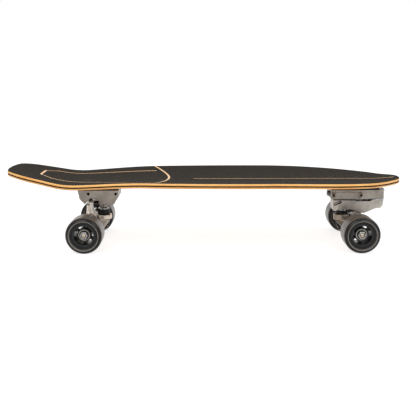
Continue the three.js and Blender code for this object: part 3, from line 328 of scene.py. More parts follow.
# each slot's finishes; the first of them dresses the CAD nodes of that slot
slotFinishes = {
    "grip": ["gripGrit"], "maple": ["mapleVeneer", "shadedLowerMaple"], "dark_ply": ["darkVeneer"],
    "cast_metal": ["castMetal", "litHangerMetal", "litArmMetal", "shadedMetal"],
    "steel": ["zincSteel", "raceSteel", "axleSteel"], "black_steel": ["blackSteel", "boltSteel"],
    "spring_steel": ["springSteel"], "riser_plastic": ["riserPlastic"],
    "urethane_tyre": ["urethane"], "wheel_core": ["corePlastic", "shieldBlack", "nutNylon"],
    "bushing": ["bushingRubber"]}
slotOfNode = {sub["node"]: sub["material_slot"] for sub in frame["record"]["subparts"]}
for nodeName, nodeObject in nodes.items():
    nodeObject.data.materials.clear()
    nodeObject.data.materials.append(finishes[slotFinishes[slotOfNode[nodeName]][0]])
print("finishes made:", len(bpy.data.materials))


# Surfaces: every new piece is a grid of points worked out as whole arrays

weld = {"together": 1e-6, "degenerate": 1e-7}  # metres
up, across = (0, 0, 1), (0, 1, 0)  # directions that things are turned about
tiny = 1e-6  # least radius that is divided by


def unit(vectors):
    # each vector over its length
    return vectors / np.linalg.norm(vectors, axis=-1, keepdims=True)


def gridFaces(rows, cols, closedRows=False, closedCols=False, keep=None):
    # quads of a rows by cols grid, wrapped where it is closed, without the cells that keep drops
    i, j = np.meshgrid(np.arange(rows if closedRows else rows - 1),
                       np.arange(cols if closedCols else cols - 1), indexing="ij")
    k, m = (i + 1) % rows, (j + 1) % cols
    quads = np.stack([i * cols + j, k * cols + j, k * cols + m, i * cols + m], -1)
    return quads.reshape(-1, 4) if keep is None else quads[keep]


def turned(steps):
    # angles spread evenly over one turn
    return np.linspace(0, 2 * np.pi, steps, endpoint=False)


def tube(points, closedRows=False):
    # closed loops of points, each joined to the next, with closedRows the last to the first too
    return points, gridFaces(*points.shape[:2], closedRows, True)


def joined(*surfaces):
    # one points array and one faces array out of several
    points, faces, start = [], [], 0
    for somePoints, someFaces in surfaces:
        points.append(np.asarray(somePoints, float).reshape(-1, 3))
        faces.append(someFaces + start)
        start += len(points[-1])
    return np.concatenate(points), np.concatenate(faces)


def makePiece(name, surface, finish, body, node, sharp=40, merge=True, bend=None):
    # one object on its body, in its finish's slot, in place of its CAD node; with bend it stays off any body,
    # its place baked into its points, and the body and two points in bend are not used
    points, faces = surface
    mesh = bpy.data.meshes.new(name)
    mesh.from_pydata((points.reshape(-1, 3) * mm).tolist(), [], faces.tolist())
    if merge:
        work = bmesh.new()
        work.from_mesh(mesh)
        bmesh.ops.remove_doubles(work, verts=work.verts, dist=weld["together"])
        bmesh.ops.dissolve_degenerate(work, edges=work.edges, dist=weld["degenerate"])
        bmesh.ops.recalc_face_normals(work, faces=work.faces)
        work.to_mesh(mesh)
        work.free()
    mesh.shade_smooth()
    mesh.set_sharp_from_angle(angle=math.radians(sharp))
    mesh.materials.append(finishes[finish])
    piece = bpy.data.objects.new(name, mesh)
    scene.collection.objects.link(piece)
    if bend:
        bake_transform(piece)
    else:
        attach(piece, body)
    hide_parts(node)
    return piece


def rounded(corners, radii, steps=5):
    # each corner becomes a quadratic curve between the points one radius before and after it
    most = 0.49  # of a side, so that the curves of two corners never meet
    corners, radii = np.asarray(corners, float), np.asarray(radii, float)[:, None]
    before, after = np.roll(corners, 1, 0) - corners, np.roll(corners, -1, 0) - corners
    sizeBefore = np.linalg.norm(before, axis=1, keepdims=True)
    sizeAfter = np.linalg.norm(after, axis=1, keepdims=True)
    a = corners + before / sizeBefore * np.minimum(radii, sizeBefore * most)
    b = corners + after / sizeAfter * np.minimum(radii, sizeAfter * most)
    t = np.linspace(0, 1, steps)[None, :, None]
    curve = a[:, None] * (1 - t) ** 2 + corners[:, None] * 2 * t * (1 - t) + b[:, None] * t ** 2
    return curve.reshape(-1, 2)


def box(r0, r1, h0, h1, edge=0.25):
    # rectangular ring profile with softened corners
    return rounded([(r0, h0), (r1, h0), (r1, h1), (r0, h1)], [edge] * 4, 3)


def raised(profile, height):
    # the profile's heights plus height
    return np.asarray(profile, float) + (0, height)


def facing(profile, sign):
    # the profile's heights times sign, in the order that keeps its outside out
    return (profile * (1, sign))[::sign]


def mirrored(half):
    # a profile and its reflection in the height 0
    half = np.asarray(half, float)
    return np.vstack([half, facing(half, -1)])


def thread(radius, start, end, pitch, depth):
    # saw profile of a threaded length: crests at radius every pitch, roots depth lower between them
    turns = np.arange(start, end, pitch)
    crest = np.stack([np.full(len(turns), radius), turns], 1)
    root = np.stack([np.full(len(turns), radius - depth), turns + pitch / 2], 1)
    return np.stack([crest, root], 1).reshape(-1, 2)


def lathe(profile, steps, centre, axis=up):
    # closed profile of (radius, height) turned about an axis: c + r cos u + r sin v + h axis
    profile, w = np.asarray(profile, float), unit(axis)
    u = unit(np.cross(w, (0, 1, 0) if abs(w[1]) < 0.9 else (1, 0, 0)))
    v = np.cross(w, u)
    angle = turned(steps)[:, None, None]
    r, h = profile[None, :, :1], profile[None, :, 1:]
    points = np.asarray(centre, float) + r * np.cos(angle) * u + r * np.sin(angle) * v + h * w
    return tube(points, True)


def hexBar(profile, flats, steps, centre, axis=up):
    # a lathe whose radius stays inside a hexagon: r = min(profile, flats / cos(angle from the flat))
    points, faces = lathe(profile, steps, (0, 0, 0), axis)
    profile = np.asarray(profile, float)
    fromFlat = np.mod(turned(steps) + np.pi / 6, np.pi / 3) - np.pi / 6
    limit = flats / np.cos(fromFlat)
    shrink = np.minimum(1, limit[:, None] / np.maximum(profile[None, :, 0], tiny))[..., None]
    w = unit(axis)
    along = (points @ w)[..., None] * w
    return np.asarray(centre, float) + along + (points - along) * shrink, faces


def smooth(x, start, end):
    # smooth step from 0 at start to 1 at end: t squared times three less two t
    t = np.clip((x - start) / (end - start), 0, 1)
    return t * t * (3 - 2 * t)


# Deck: three layers of plies over one curved board

board = {
    "length": 780.0, "width": 251.8, "top": 126.5,
    "lengthShare": 0.9983,  # keeps the round tips inside the solid's length
    # shares of half the length and half the width, tail to nose
    "shares": [(-1, 0.05), (-0.987, 0.355), (-0.964, 0.49), (-0.896, 0.622), (-0.768, 0.72),
               (-0.616, 0.812), (-0.387, 0.889), (-0.153, 0.964), (0.102, 1), (0.387, 0.988),
               (0.565, 0.93), (0.718, 0.81), (0.845, 0.62), (0.9365, 0.365), (0.966, 0.285),
               (0.989, 0.175), (1, 0.02)],
    "steps": 14, "tipHalf": 0.4, "hollow": 9.5, "tailHollowShare": 0.2, "tipWidthShare": 0.55,
    "rearFade": (110, 290), "frontFade": (120, 460),
    # distance from the middle, radius of the bend, degrees
    "tail": (244, 240, 11.2), "nose": (320, 600, 7.5)}
plies = {
    "topRound": 2.0, "bottomRound": 2.6, "glueRound": 0.05, "levels": (0.85, -3.0, -5.7, -8.8),
    "acrossSteps": 41, "roundSteps": 6, "sharp": 50}


def bendRise(distance, radius, degrees):
    # an arc of the radius up to the angle, then its tangent
    angle = math.radians(degrees)
    run = radius * math.sin(angle)
    arc = radius - np.sqrt(radius ** 2 - np.clip(distance, 0, run) ** 2)
    return arc + np.maximum(distance - run, 0) * math.tan(angle)


def deckHeight(x, share, cfg=board):
    # top level, plus the rise of tail and nose, plus a hollow that goes with the share across squared
    # and fades towards both ends
    rear, front = smooth(-x, *cfg["rearFade"]), smooth(x, *cfg["frontFade"])
    hollow = cfg["hollow"] * (1 - (1 - cfg["tailHollowShare"]) * rear) * (1 - front)
    tailFrom, *tailBend = cfg["tail"]
    noseFrom, *noseBend = cfg["nose"]
    rise = bendRise(-x - tailFrom, *tailBend) + bendRise(x - noseFrom, *noseBend)
    return cfg["top"] + rise + hollow * share ** 2


def railCurve(cfg):
    # Catmull-Rom through the shares, closed over both tips by their mirror points: x and half width,
    # with the outward direction at each
    p = np.array(cfg["shares"]) * (cfg["length"] / 2 * cfg["lengthShare"], cfg["width"] / 2)
    p = np.vstack([p[1] * (1, -1), p[0] * (1, -1), p, p[-1] * (1, -1), p[-2] * (1, -1)])
    t = np.linspace(0, 1, cfg["steps"], endpoint=False)[None, :, None]
    p0, p1, p2, p3 = (p[k:len(p) - 3 + k, None] for k in range(4))
    a, b = (p2 - p0) / 2, (p3 - p1) / 2
    q = (2 * p1 - 2 * p2 + a + b) * t ** 3 + (3 * p2 - 3 * p1 - 2 * a - b) * t ** 2 + a * t + p1
    q = q.reshape(-1, 2)
    wide = q[:, 1] > cfg["tipHalf"]
    q = q[int(np.argmax(wide)):len(q) - int(np.argmax(wide[::-1]))]
    q = np.vstack([[(q[0, 0], 0.0)], q, [(q[-1, 0], 0.0)]])
    slope = np.gradient(q, axis=0)
    normal = unit(np.stack([-slope[:, 1], slope[:, 0]], 1))
    normal[0], normal[-1] = (-1, 0), (1, 0)
    return q, normal


rail, railNormal = railCurve(board)


def halfWidth(x):
    # the rail's half width at x, straight between its points
    return np.interp(x, rail[:, 0], rail[:, 1])


def onBoard(x, y, level, cfg=board):
    # points at a level above the board's surface; the hollow keeps a least width over the round tips
    tipWidth = cfg["width"] / 2 * cfg["tipWidthShare"]
    z = deckHeight(x, y / np.maximum(halfWidth(x), tipWidth)) + level
    return np.stack(np.broadcast_arrays(x, y, z), -1)


def deckPly(top, bottom, topRound, bottomRound, cfg=plies):
    # section loop of (share across, inset, level), carried from tip to tip along the rail curve
    share = np.linspace(-1, 1, cfg["acrossSteps"])[1:-1]
    quarter = np.linspace(0, np.pi / 2, cfg["roundSteps"])
    edge, flat = np.ones(len(quarter)), np.ones(len(share))
    upper = np.stack([edge, topRound * (1 - np.sin(quarter)), top - topRound * (1 - np.cos(quarter))], 1)
    lower = np.stack([edge, bottomRound * (1 - np.cos(quarter)),
                      bottom + bottomRound * (1 - np.sin(quarter))], 1)
    side = np.vstack([upper, lower])
    over = np.stack([share, flat * topRound, flat * top], 1)
    under = np.stack([-share, flat * bottomRound, flat * bottom], 1)
    loop = np.vstack([over, side, under, side[::-1] * (-1, 1, 1)])
    share, inset, level = (loop[None, :, k] for k in range(3))
    x = rail[:, :1] - inset * railNormal[:, :1]
    y = share * np.maximum(rail[:, 1:] - inset * railNormal[:, 1:], 0)
    return tube(onBoard(x, y, level))


def buildPlies(cfg):
    glue = cfg["glueRound"]
    layers = [("topPlies", "mapleVeneer", "deck_top_plies", cfg["topRound"], glue),
              ("corePly", "darkVeneer", "deck_core_ply", glue, glue),
              ("bottomPlies", "shadedLowerMaple", "deck_bottom_plies", glue, cfg["bottomRound"])]
    for (name, finish, node, *rounds), top, bottom in zip(layers, cfg["levels"], cfg["levels"][1:]):
        makePiece(name, deckPly(top, bottom, *rounds), finish, "board", node, cfg["sharp"])


buildPlies(plies)
print("plies built")


# Grip: two thin sheets with the chevron, the long panel line and the stringer cut out of them

gripCut = {
    "level": 0.98, "thickness": 0.3, "margin": 1.6, "least": 0.02, "passes": 6, "side": 9.0,
    "sharp": 60,
    # the chevron: its tip, its width, and a hyperbola whose arms fall back by sweep
    "chevronTip": -75.5, "chevronWidth": 4.2, "sweep": 0.55, "round": 70.0, "sweepFrom": -200.0,
    "sweepTo": 60.0,
    # the panel: its pointed end with a flat tip, then sides that swell along its run
    "tip": -328.5, "tipLine": 4.0, "tipDepth": 25.0, "tipFlat": 24.0, "tipHalf": 45.0,
    "tipFade": -280.0, "panelRun": 205.0, "panelSwell": 33.8, "panelDraw": 6.3, "panelMost": 0.7,
    "lineHalf": 1.7, "lineFull": 120.0, "lineRows": -102.0, "lineEnd": -102.8,
    "rearRows": (26, 3, 60, 12), "rearParts": (16, 1, 20),
    # the stringer in the front sheet
    "stringer": (-24.0, 380.0), "stringerHalf": 1.6, "stringerMost": 0.4,
    "frontRows": (14, 90, 12), "frontParts": (1, 36)}


def panelHalf(x, cfg=gripCut):
    # half width of the long panel: tip half width plus swell times s less draw times s squared
    s = np.clip((x - cfg["tip"] - cfg["tipDepth"]) / cfg["panelRun"], 0, 1)
    return cfg["tipHalf"] + cfg["panelSwell"] * s - cfg["panelDraw"] * s ** 2


def chevronShift(y, cfg=gripCut):
    # minus sweep times the hyperbola: the root of y squared plus round squared, less round
    return -cfg["sweep"] * (np.hypot(y, cfg["round"]) - cfg["round"])


def rowsBetween(marks, counts):
    # rows spread evenly between each two marks along the board
    return np.unique(np.concatenate([np.linspace(a, b, n) for a, b, n in zip(marks, marks[1:], counts)]))


def gripSheet(name, node, rows, parts, knots, shift, aside, dropped, cfg=gripCut):
    # rows run across the board and are pushed along it; columns follow the knots, panel line and rail;
    # the pattern then moves sideways by aside * (1 - (y / edge) ** 4), so the rails stay
    spans = [np.linspace(k, k + 1, n, endpoint=False) for k, n in enumerate(parts)]
    spans = np.concatenate(spans + [[len(parts)]])
    columns = np.concatenate([-spans[:0:-1], spans])
    base = np.minimum(np.abs(columns).astype(int), len(parts) - 1)
    part = np.abs(columns) - base
    rows = rows[:, None]
    x = np.repeat(rows, len(columns), 1)
    for _ in range(cfg["passes"]):
        edge = np.maximum(halfWidth(x) - cfg["margin"], cfg["least"])
        levels = np.stack(knots(x, edge), 0)
        low = np.take_along_axis(levels, np.broadcast_to(base, x.shape)[None], 0)[0]
        high = np.take_along_axis(levels, np.broadcast_to(base + 1, x.shape)[None], 0)[0]
        y = np.sign(columns) * (low * (1 - part) + high * part)
        x = rows + shift(rows, y)
    y = y + aside(rows) * (1 - (y / edge) ** 4)
    rowMiddle = (rows[1:] + rows[:-1]) / 2
    middle = (np.abs(columns[1:]) + np.abs(columns[:-1])) / 2
    keep = ~dropped(rowMiddle, middle[None, :], (x[1:, 1:] + x[:-1, :-1]) / 2)
    surface = onBoard(x, y, cfg["level"]), gridFaces(*x.shape, keep=keep)
    sheet = makePiece(name, surface, "gripGrit", "board", node, cfg["sharp"])
    thick = sheet.modifiers.new("thickness", "SOLIDIFY")
    thick.thickness = cfg["thickness"] * mm
    thick.offset = -1


def buildRearGrip(cfg):
    first = rail[1, 0] + cfg["margin"]
    tip, tipEnd = cfg["tip"], cfg["tip"] + cfg["tipLine"]
    rows = rowsBetween([first, tip, tipEnd, cfg["lineRows"], cfg["chevronTip"]], cfg["rearRows"])

    def knots(x, edge):
        # the middle, both sides of the panel line, which stays off the rail, and the rail
        line, half, most = panelHalf(x), cfg["lineHalf"], cfg["panelMost"] * edge
        return [np.zeros_like(x), np.minimum(line - half, most),
                np.minimum(line + half, most + 2 * half * edge / cfg["lineFull"]), edge]

    def shift(x0, y):
        # the slanted sides of the panel's end, and the chevron
        vee = np.interp(x0, [first, tip, tipEnd, cfg["tipFade"]], [0, 1, 1, 0])
        back = np.interp(x0, [cfg["sweepFrom"], cfg["chevronTip"]], [0, 1])
        slant = np.clip((np.abs(y) - cfg["tipFlat"]) / (cfg["tipHalf"] - cfg["tipFlat"]), 0, 1)
        return cfg["tipDepth"] * vee * slant + back * chevronShift(y)

    def aside(x0):
        return cfg["side"] * smooth(x0, first, tip)

    def dropped(row, column, x):
        # the cells of the panel's end line and of its two sides
        end = (row > tip) & (row < tipEnd) & (column < 2)
        side = (column > 1) & (column < 2) & (row > tip) & (x < cfg["lineEnd"])
        return end | side

    gripSheet("rearGrip", "rear_grip_sheet", rows, cfg["rearParts"], knots, shift, aside, dropped)


def buildFrontGrip(cfg):
    start, last = cfg["chevronTip"] + cfg["chevronWidth"], rail[-2, 0] - cfg["margin"]
    lineFrom, lineTo = cfg["stringer"]
    rows = rowsBetween([start, lineFrom, lineTo, last], cfg["frontRows"])

    def knots(x, edge):
        # the middle, the stringer's side and the rail
        return [np.zeros_like(x), np.minimum(cfg["stringerHalf"], cfg["stringerMost"] * edge), edge]

    def shift(x0, y):
        return np.interp(x0, [start, cfg["sweepTo"]], [1, 0]) * chevronShift(y)

    def aside(x0):
        return cfg["side"] * (1 - smooth(x0, start, lineFrom))

    def dropped(row, column, x):
        return (column < 1) & (row > lineFrom) & (row < lineTo) & (x < last)

    gripSheet("frontGrip", "front_grip_sheet", rows, cfg["frontParts"], knots, shift, aside, dropped)


buildRearGrip(gripCut)
buildFrontGrip(gripCut)
print("grip sheets built")


# Trucks: the places that their pieces share

axleHeight = 35.0
sides = {"left": 1, "right": -1}
trucks = {
    "rear": {"x": -230.5, "kingpin": -205.5, "head": 95.0, "nut": 25.6, "ring": 55.0,
             "hanger": "rear_hanger", "base": "board"},
    "front": {"x": 297.0, "kingpin": 277.0, "head": 80.0, "nut": 22.6, "ring": 52.0,
              "hanger": "front_hanger", "base": "swing_arm"}}


# Wheels: tyre, core with six windows, two bearings with shields and rings

wheel = {
    "steps": 120, "track": 90.0,
    # one half of the section
    "corners": [(22.05, -20.0), (26.6, -20.2), (27.3, -24.8), (28.6, -24.8), (29.4, -25.0),
                (33.4, -22.6), (35.0, -18.6)],
    "radii": [0.3, 1.0, 0.5, 0.2, 1.2, 2.2, 2.2],
    # where it is lighter, by radius, and how much: painted reflection on the tread, wear and a painted
    # highlight on the lip
    "treadFrom": (33.8, 34.6), "treadSheen": 0.7, "lipFrom": (26.4, 26.9), "lipTo": (28.6, 29.2),
    "lipWearAndHighlight": 1.15}
core = {
    "rim": [(18.4, -19.2), (19.0, -19.9), (21.98, -19.9)],
    "hub": [(11.02, -13.5), (12.9, -13.5), (13.4, -13.0)],
    "edge": 0.4, "steps": 96, "web": 5.0, "webRadii": [0.12, 0.5, 0.12, 0.5], "from": 12.6, "to": 19.0,
    "windows": 6, "spoke": 9.5, "flare": 6.5, "places": 13}
bearing = {
    "near": 5.0, "far": 12.0, "race": (9.3, 10.98), "inner": (4.05, 6.4), "steps": 72,
    "ring": (4.05, 5.9), "ringEnd": 13.2, "ringSteps": 48, "shieldEdge": 0.2,
    "shield": [(6.2, 5.5), (9.5, 5.5), (9.5, 11.45), (8.6, 11.7), (6.9, 11.7), (6.2, 11.4)]}


def spokes(cfg, centre):
    # each spoke is a closed loop (angle side, y face) carried along the radius; its half angle is
    # spoke + flare * (2 * place - 1) ** 4, which rounds the windows' corners
    place = np.linspace(0, 1, cfg["places"])
    r = (cfg["from"] + (cfg["to"] - cfg["from"]) * place)[:, None]
    half = np.radians(cfg["spoke"] + cfg["flare"] * (2 * place - 1) ** 4)[:, None]
    web = cfg["web"]
    soft = rounded([(-1, -web), (1, -web), (1, web), (-1, web)], cfg["webRadii"], 4)
    loops = []
    for k in range(cfg["windows"]):
        angle = 2 * np.pi * (k + 0.5) / cfg["windows"] + half * soft[None, :, 0]
        y = np.broadcast_to(soft[None, :, 1], angle.shape)
        points = np.stack([r * np.cos(angle), y, r * np.sin(angle)], -1) + np.asarray(centre)
        loops.append(tube(points))
    return loops


def bothSides(profile, steps, centre):
    # a profile turned about the wheel's axis on each side of its middle
    return [lathe(facing(profile, sign), steps, centre, across) for sign in sides.values()]


def buildTyre(name, node, body, centre, cfg):
    # rounded section turned about the axle; lighter where it rolls, as painted reflection, and on the lip, as
    # wear and a painted highlight, in bands of the radius r
    section = rounded(mirrored(cfg["corners"]), cfg["radii"] + cfg["radii"][::-1])
    surface = lathe(section, cfg["steps"], centre, across)
    tyre = makePiece(name, surface, "urethane", body, node, merge=False)
    r = section[:, 0]
    tread = smooth(r, *cfg["treadFrom"]) * cfg["treadSheen"]
    lip = smooth(r, *cfg["lipFrom"]) * (1 - smooth(r, *cfg["lipTo"])) * cfg["lipWearAndHighlight"]
    wearAndSheen = tyre.data.attributes.new("wearAndSheen", "FLOAT", "POINT")
    wearAndSheen.data.foreach_set("value", np.tile(tread + lip, cfg["steps"]))


def buildCore(name, node, body, centre, cfg):
    # rim and hub turned about the axle, with the spokes between them
    rings = [lathe(rounded(mirrored(cfg[part]), [cfg["edge"]] * 6, 4), cfg["steps"], centre, across)
             for part in ("rim", "hub")]
    makePiece(name, joined(*rings, *spokes(cfg, centre)), "corePlastic", body, node)


def buildBearings(name, node, body, centre, cfg):
    # outer and inner races, speed rings and the spacer between, then the dark shields
    near, far, steps, ringSteps = cfg["near"], cfg["far"], cfg["steps"], cfg["ringSteps"]
    steel = bothSides(box(*cfg["race"], near, far), steps, centre)
    steel += bothSides(box(*cfg["inner"], near, far), steps, centre)
    steel += bothSides(box(*cfg["ring"], far, cfg["ringEnd"]), ringSteps, centre)
    steel.append(lathe(box(*cfg["ring"], -near, near), ringSteps, centre, across))
    makePiece(f"{name}Bearings", joined(*steel), "raceSteel", body, node)
    shield = rounded(cfg["shield"], [cfg["shieldEdge"]] * 6, 3)
    makePiece(f"{name}Shields", joined(*bothSides(shield, steps, centre)), "shieldBlack", body, node)


def buildWheel(end, side, sign):
    name, node, body = f"{end}{side.title()}", f"{end}_{side}", f"{end}_{side}_wheel"
    centre = (trucks[end]["x"], sign * wheel["track"], axleHeight)
    buildTyre(f"{name}Tyre", f"{node}_tyre", body, centre, wheel)
    buildCore(f"{name}Core", f"{node}_wheel_core", body, centre, core)
    buildBearings(name, f"{node}_bearings", body, centre, bearing)


# Axles: a bar threaded at both ends, and lock nuts with their nylon inserts

axle = {
    "radius": 3.95, "threadFrom": 101.0, "threadTo": 109.5, "pitch": 0.9, "threadDepth": 0.32,
    "tip": [(3.65, 109.6), (2.45, 110.5), (0, 110.5)], "steps": 64, "sharp": 30,
    "nut": [(4.1, 103.5), (6.8, 103.5), (7.5, 104.0), (7.5, 107.6), (6.7, 108.1), (6.0, 108.3),
            (5.7, 109.5), (5.0, 109.5), (5.0, 109.1), (4.1, 109.1)],
    "nutRadii": [0.1, 0.2, 0.2, 0.2, 0.3, 0.3, 0.5, 0.1, 0.1, 0.1], "flats": 6.5, "nutSteps": 96,
    "insert": (4.02, 5.02, 108.3, 109.35, 0.1), "insertSteps": 48}


def buildAxle(end, cfg):
    # threads and tip mirrored to the other end and turned; each nut cut to a hexagon
    centre, body = (trucks[end]["x"], 0, axleHeight), trucks[end]["hanger"]
    threads = thread(cfg["radius"], cfg["threadFrom"], cfg["threadTo"], cfg["pitch"], cfg["threadDepth"])
    bar = lathe(mirrored(np.vstack([threads, cfg["tip"]])), cfg["steps"], centre, across)
    makePiece(f"{end}Axle", bar, "axleSteel", body, f"{end}_axle", cfg["sharp"])
    nut, insert = rounded(cfg["nut"], cfg["nutRadii"], 3), box(*cfg["insert"])
    for side, sign in sides.items():
        name, node = f"{end}{side.title()}", f"{end}_{side}_axle_nut"
        makePiece(f"{name}AxleNut", hexBar(facing(nut, sign), cfg["flats"], cfg["nutSteps"], centre, across),
                  "zincSteel", body, node, cfg["sharp"])
        makePiece(f"{name}NutInsert", lathe(facing(insert, sign), cfg["insertSteps"], centre, across),
                  "nutNylon", body, node)


for endName in trucks:
    for sideName, sideSign in sides.items():
        buildWheel(endName, sideName, sideSign)
    buildAxle(endName, axle)
print("wheels and axles built")


# Kingpin stacks: bolt, lock nut, cupped washers and the two bushings each side of the hanger ring

stack = {
    "shank": 4.75, "pitch": 1.25, "threadDepth": 0.4, "tip": 2.0,
    "point": [(0, 0), (3.9, 0), (4.5, 0.6)],
    "threadStart": 0.9, "threadOver": 2.0, "plainFrom": 3.0, "intoHead": 1.0,
    "head": [(0.5, 0), (7.4, 0), (8.1, 0.6), (8.1, 5.0), (7.4, 5.8), (0.5, 5.8)],
    "headRadii": [0.1, 0.3, 0.3, 0.3, 0.4, 0.1], "nutHeight": 7.0,
    "nut": [(4.9, 0), (5.9, 0), (6.3, 1.3), (7.3, 1.6), (8.1, 2.3), (8.1, 6.4), (7.4, 7.0), (4.9, 7.0)],
    "nutRadii": [0.1, 0.5, 0.3, 0.3, 0.3, 0.3, 0.3, 0.1], "flats": 7.0, "gap": 0.3, "ringThickness": 9.0,
    "bushingHeight": 10.8,
    "boardside": [(4.8, 0), (12.4, 0), (12.4, 3.0), (11.5, 5.4), (12.4, 7.8), (12.4, 10.8), (4.8, 10.8)],
    "boardsideRadii": [0.2, 1.0, 1.4, 2.4, 1.4, 1.0, 0.2],
    "roadside": [(4.8, 0), (9.8, 0), (12.4, 9.2), (12.4, 10.8), (4.8, 10.8)],
    "roadsideRadii": [0.2, 1.2, 1.6, 0.8, 0.2],
    "washer": 1.7, "washerBore": 5.05, "washerRim": 1.2, "washerRadii": [0.2, 0.4, 0.5, 0.5, 0.4, 0.2],
    "upperWasher": 11.0, "lowerWasher": 10.0, "cup": 0.2,
    "barSteps": 48, "headSteps": 72, "nutSteps": 96, "bushingSteps": 96, "washerSteps": 72, "sharp": 32}


def washerProfile(radius, low, cup, cfg=stack):
    # flat ring whose rim is thicker by cup: below where cup is negative, above where it is positive
    high = low + cfg["washer"]
    rim, bore = radius - cfg["washerRim"], cfg["washerBore"]
    return rounded([(bore, low), (rim, low), (radius, low + min(cup, 0)), (radius, high + max(cup, 0)),
                    (rim, high), (bore, high)], cfg["washerRadii"], 4)


def buildKingpin(end, cfg):
    # bolt down from its head, nut under the stack
    place = trucks[end]
    centre, carrier = (place["kingpin"], 0, 0), place["base"]
    top, nutLow = place["head"], place["nut"]
    nutTop, low = nutLow + cfg["nutHeight"], nutLow - cfg["tip"]
    threads = thread(cfg["shank"], low + cfg["threadStart"], nutTop + cfg["threadOver"], cfg["pitch"],
                     cfg["threadDepth"])
    plain = [(cfg["shank"], nutTop + cfg["plainFrom"]), (cfg["shank"], top + cfg["intoHead"]),
             (0, top + cfg["intoHead"])]
    shank = lathe(np.vstack([raised(cfg["point"], low), threads, plain]), cfg["barSteps"], centre)
    head = rounded(raised(cfg["head"], top), cfg["headRadii"], 3)
    head = hexBar(head, cfg["flats"], cfg["headSteps"], centre)
    makePiece(f"{end}Kingpin", joined(shank, head), "zincSteel", carrier, f"{end}_kingpin", cfg["sharp"])
    nut = rounded(raised(cfg["nut"], nutLow), cfg["nutRadii"], 3)
    makePiece(f"{end}KingpinNut", hexBar(nut, cfg["flats"], cfg["nutSteps"], centre), "blackSteel", carrier,
              f"{end}_kingpin_nut", cfg["sharp"])


def buildBushings(end, cfg):
    # two bushings, each held by its washer at one end and meeting the hanger ring at the other
    place = trucks[end]
    centre, carrier = (place["kingpin"], 0, 0), place["base"]
    upperLow = place["ring"] + cfg["gap"]
    upperTop = upperLow + cfg["bushingHeight"]
    lowerTop = place["ring"] - cfg["ringThickness"] - cfg["gap"]
    lowerLow = lowerTop - cfg["bushingHeight"]
    for word, low, held, leaning in (("boardside", upperLow, upperTop, upperLow),
                                     ("roadside", lowerLow, lowerLow, lowerTop)):
        section = rounded(raised(cfg[word], low), cfg[f"{word}Radii"], 6)
        ends = [(centre[0] * mm, centre[1] * mm, height * mm) for height in (held, leaning)]
        makePiece(f"{end}{word.title()}Bushing", lathe(section, cfg["bushingSteps"], centre), "bushingRubber",
                  carrier, f"{end}_{word}_bushing", bend=(place["hanger"], *ends))
    upperWasher = washerProfile(cfg["upperWasher"], upperTop + cfg["gap"], -cfg["cup"])
    lowerWasher = washerProfile(cfg["lowerWasher"], lowerLow - cfg["gap"] - cfg["washer"], cfg["cup"])
    for word, section, finish in (("upper", upperWasher, "zincSteel"), ("lower", lowerWasher, "blackSteel")):
        makePiece(f"{end}{word.title()}Washer", lathe(section, cfg["washerSteps"], centre), finish, carrier,
                  f"{end}_{word}_washer", cfg["sharp"])


cups = {
    "rear": {"pivot": (-238.5, 0, 87.0), "ring": (-205.5, 0, 50.5)},
    "front": {"pivot": (318.0, 0, 71.0), "ring": (277.0, 0, 47.5)},
    "profile": [(0.3, -8.5), (8.3, -8.5), (8.3, 3.0), (6.2, 3.0), (5.3, 0.0), (3.75, -3.75), (0.3, -5.3)],
    "radii": [0.1, 0.8, 0.5, 0.3, 1.5, 1.5, 0.1], "steps": 72}


def buildCup(end, cfg):
    # soft cup turned about the lean axis, open towards the hanger's nose
    place, section = cfg[end], rounded(cfg["profile"], cfg["radii"])
    along = np.subtract(place["ring"], place["pivot"])
    makePiece(f"{end}PivotCup", lathe(section, cfg["steps"], place["pivot"], along), "bushingRubber",
              trucks[end]["base"], f"{end}_pivot_cup")


for endName in trucks:
    buildKingpin(endName, stack)
    buildBushings(endName, stack)
    buildCup(endName, cups)
print("kingpin stacks built")


# Risers, bolts and the return spring

riser = {
    "half": 26.0, "corner": 5.0, "low": 108.2, "high": 117.75, "edge": 0.5, "firstLevelShare": 0.4,
    "firstInset": 0.15, "closingInset": 40.0, "least": 0.01,
    "places": {"rear": (-252.0, -173.5), "front": (251.0, 346.5)}}


def buildRiser(end, cfg):
    # plan loop with round corners, carried up through levels that draw it in at both edges and close it
    start, stop = cfg["places"][end]
    half, low, high, edge = cfg["half"], cfg["low"], cfg["high"], cfg["edge"]
    plan = rounded([(start, -half), (stop, -half), (stop, half), (start, half)], [cfg["corner"]] * 4, 8)
    middle = np.array([(start + stop) / 2, 0])
    inset = np.array([cfg["closingInset"], edge, cfg["firstInset"], 0])
    inset = np.concatenate([inset, inset[::-1]])
    first = edge * cfg["firstLevelShare"]
    level = np.array([low, low, low + first, low + edge, high - edge, high - first, high, high])
    reach = np.abs(plan - middle).max(0)
    scale = np.maximum(reach - inset[:, None], cfg["least"]) / reach
    xy = middle + (plan - middle)[None] * scale[:, None]
    points = np.concatenate([xy, np.broadcast_to(level[:, None, None], xy.shape[:2] + (1,))], -1)
    makePiece(f"{end}Riser", tube(points), "riserPlastic", "board", f"{end}_riser_pad")


bolt = {
    "spacing": (54.0, 41.3), "middles": (-205.0, 282.0), "rise": 1.0,
    # head from the top down, shank and lock nut from the bottom up
    "head": [(0.02, -1.6), (2.0, -1.6), (2.0, 0), (4.2, 0), (4.7, -0.5), (2.4, -3.2)],
    "headRadii": [0.01, 0.1, 0.15, 0.3, 0.2, 0.3],
    "shank": [(2.4, 6.0), (2.4, 0.3), (2.1, 0), (0.02, 0)],
    "nut": [(2.4, 1.2), (4.0, 1.2), (4.5, 1.7), (4.5, 5.9), (2.4, 6.2)],
    "nutRadii": [0.1, 0.2, 0.2, 0.3, 0.1], "flats": 3.95, "steps": 32, "nutSteps": 48, "sharp": 32}


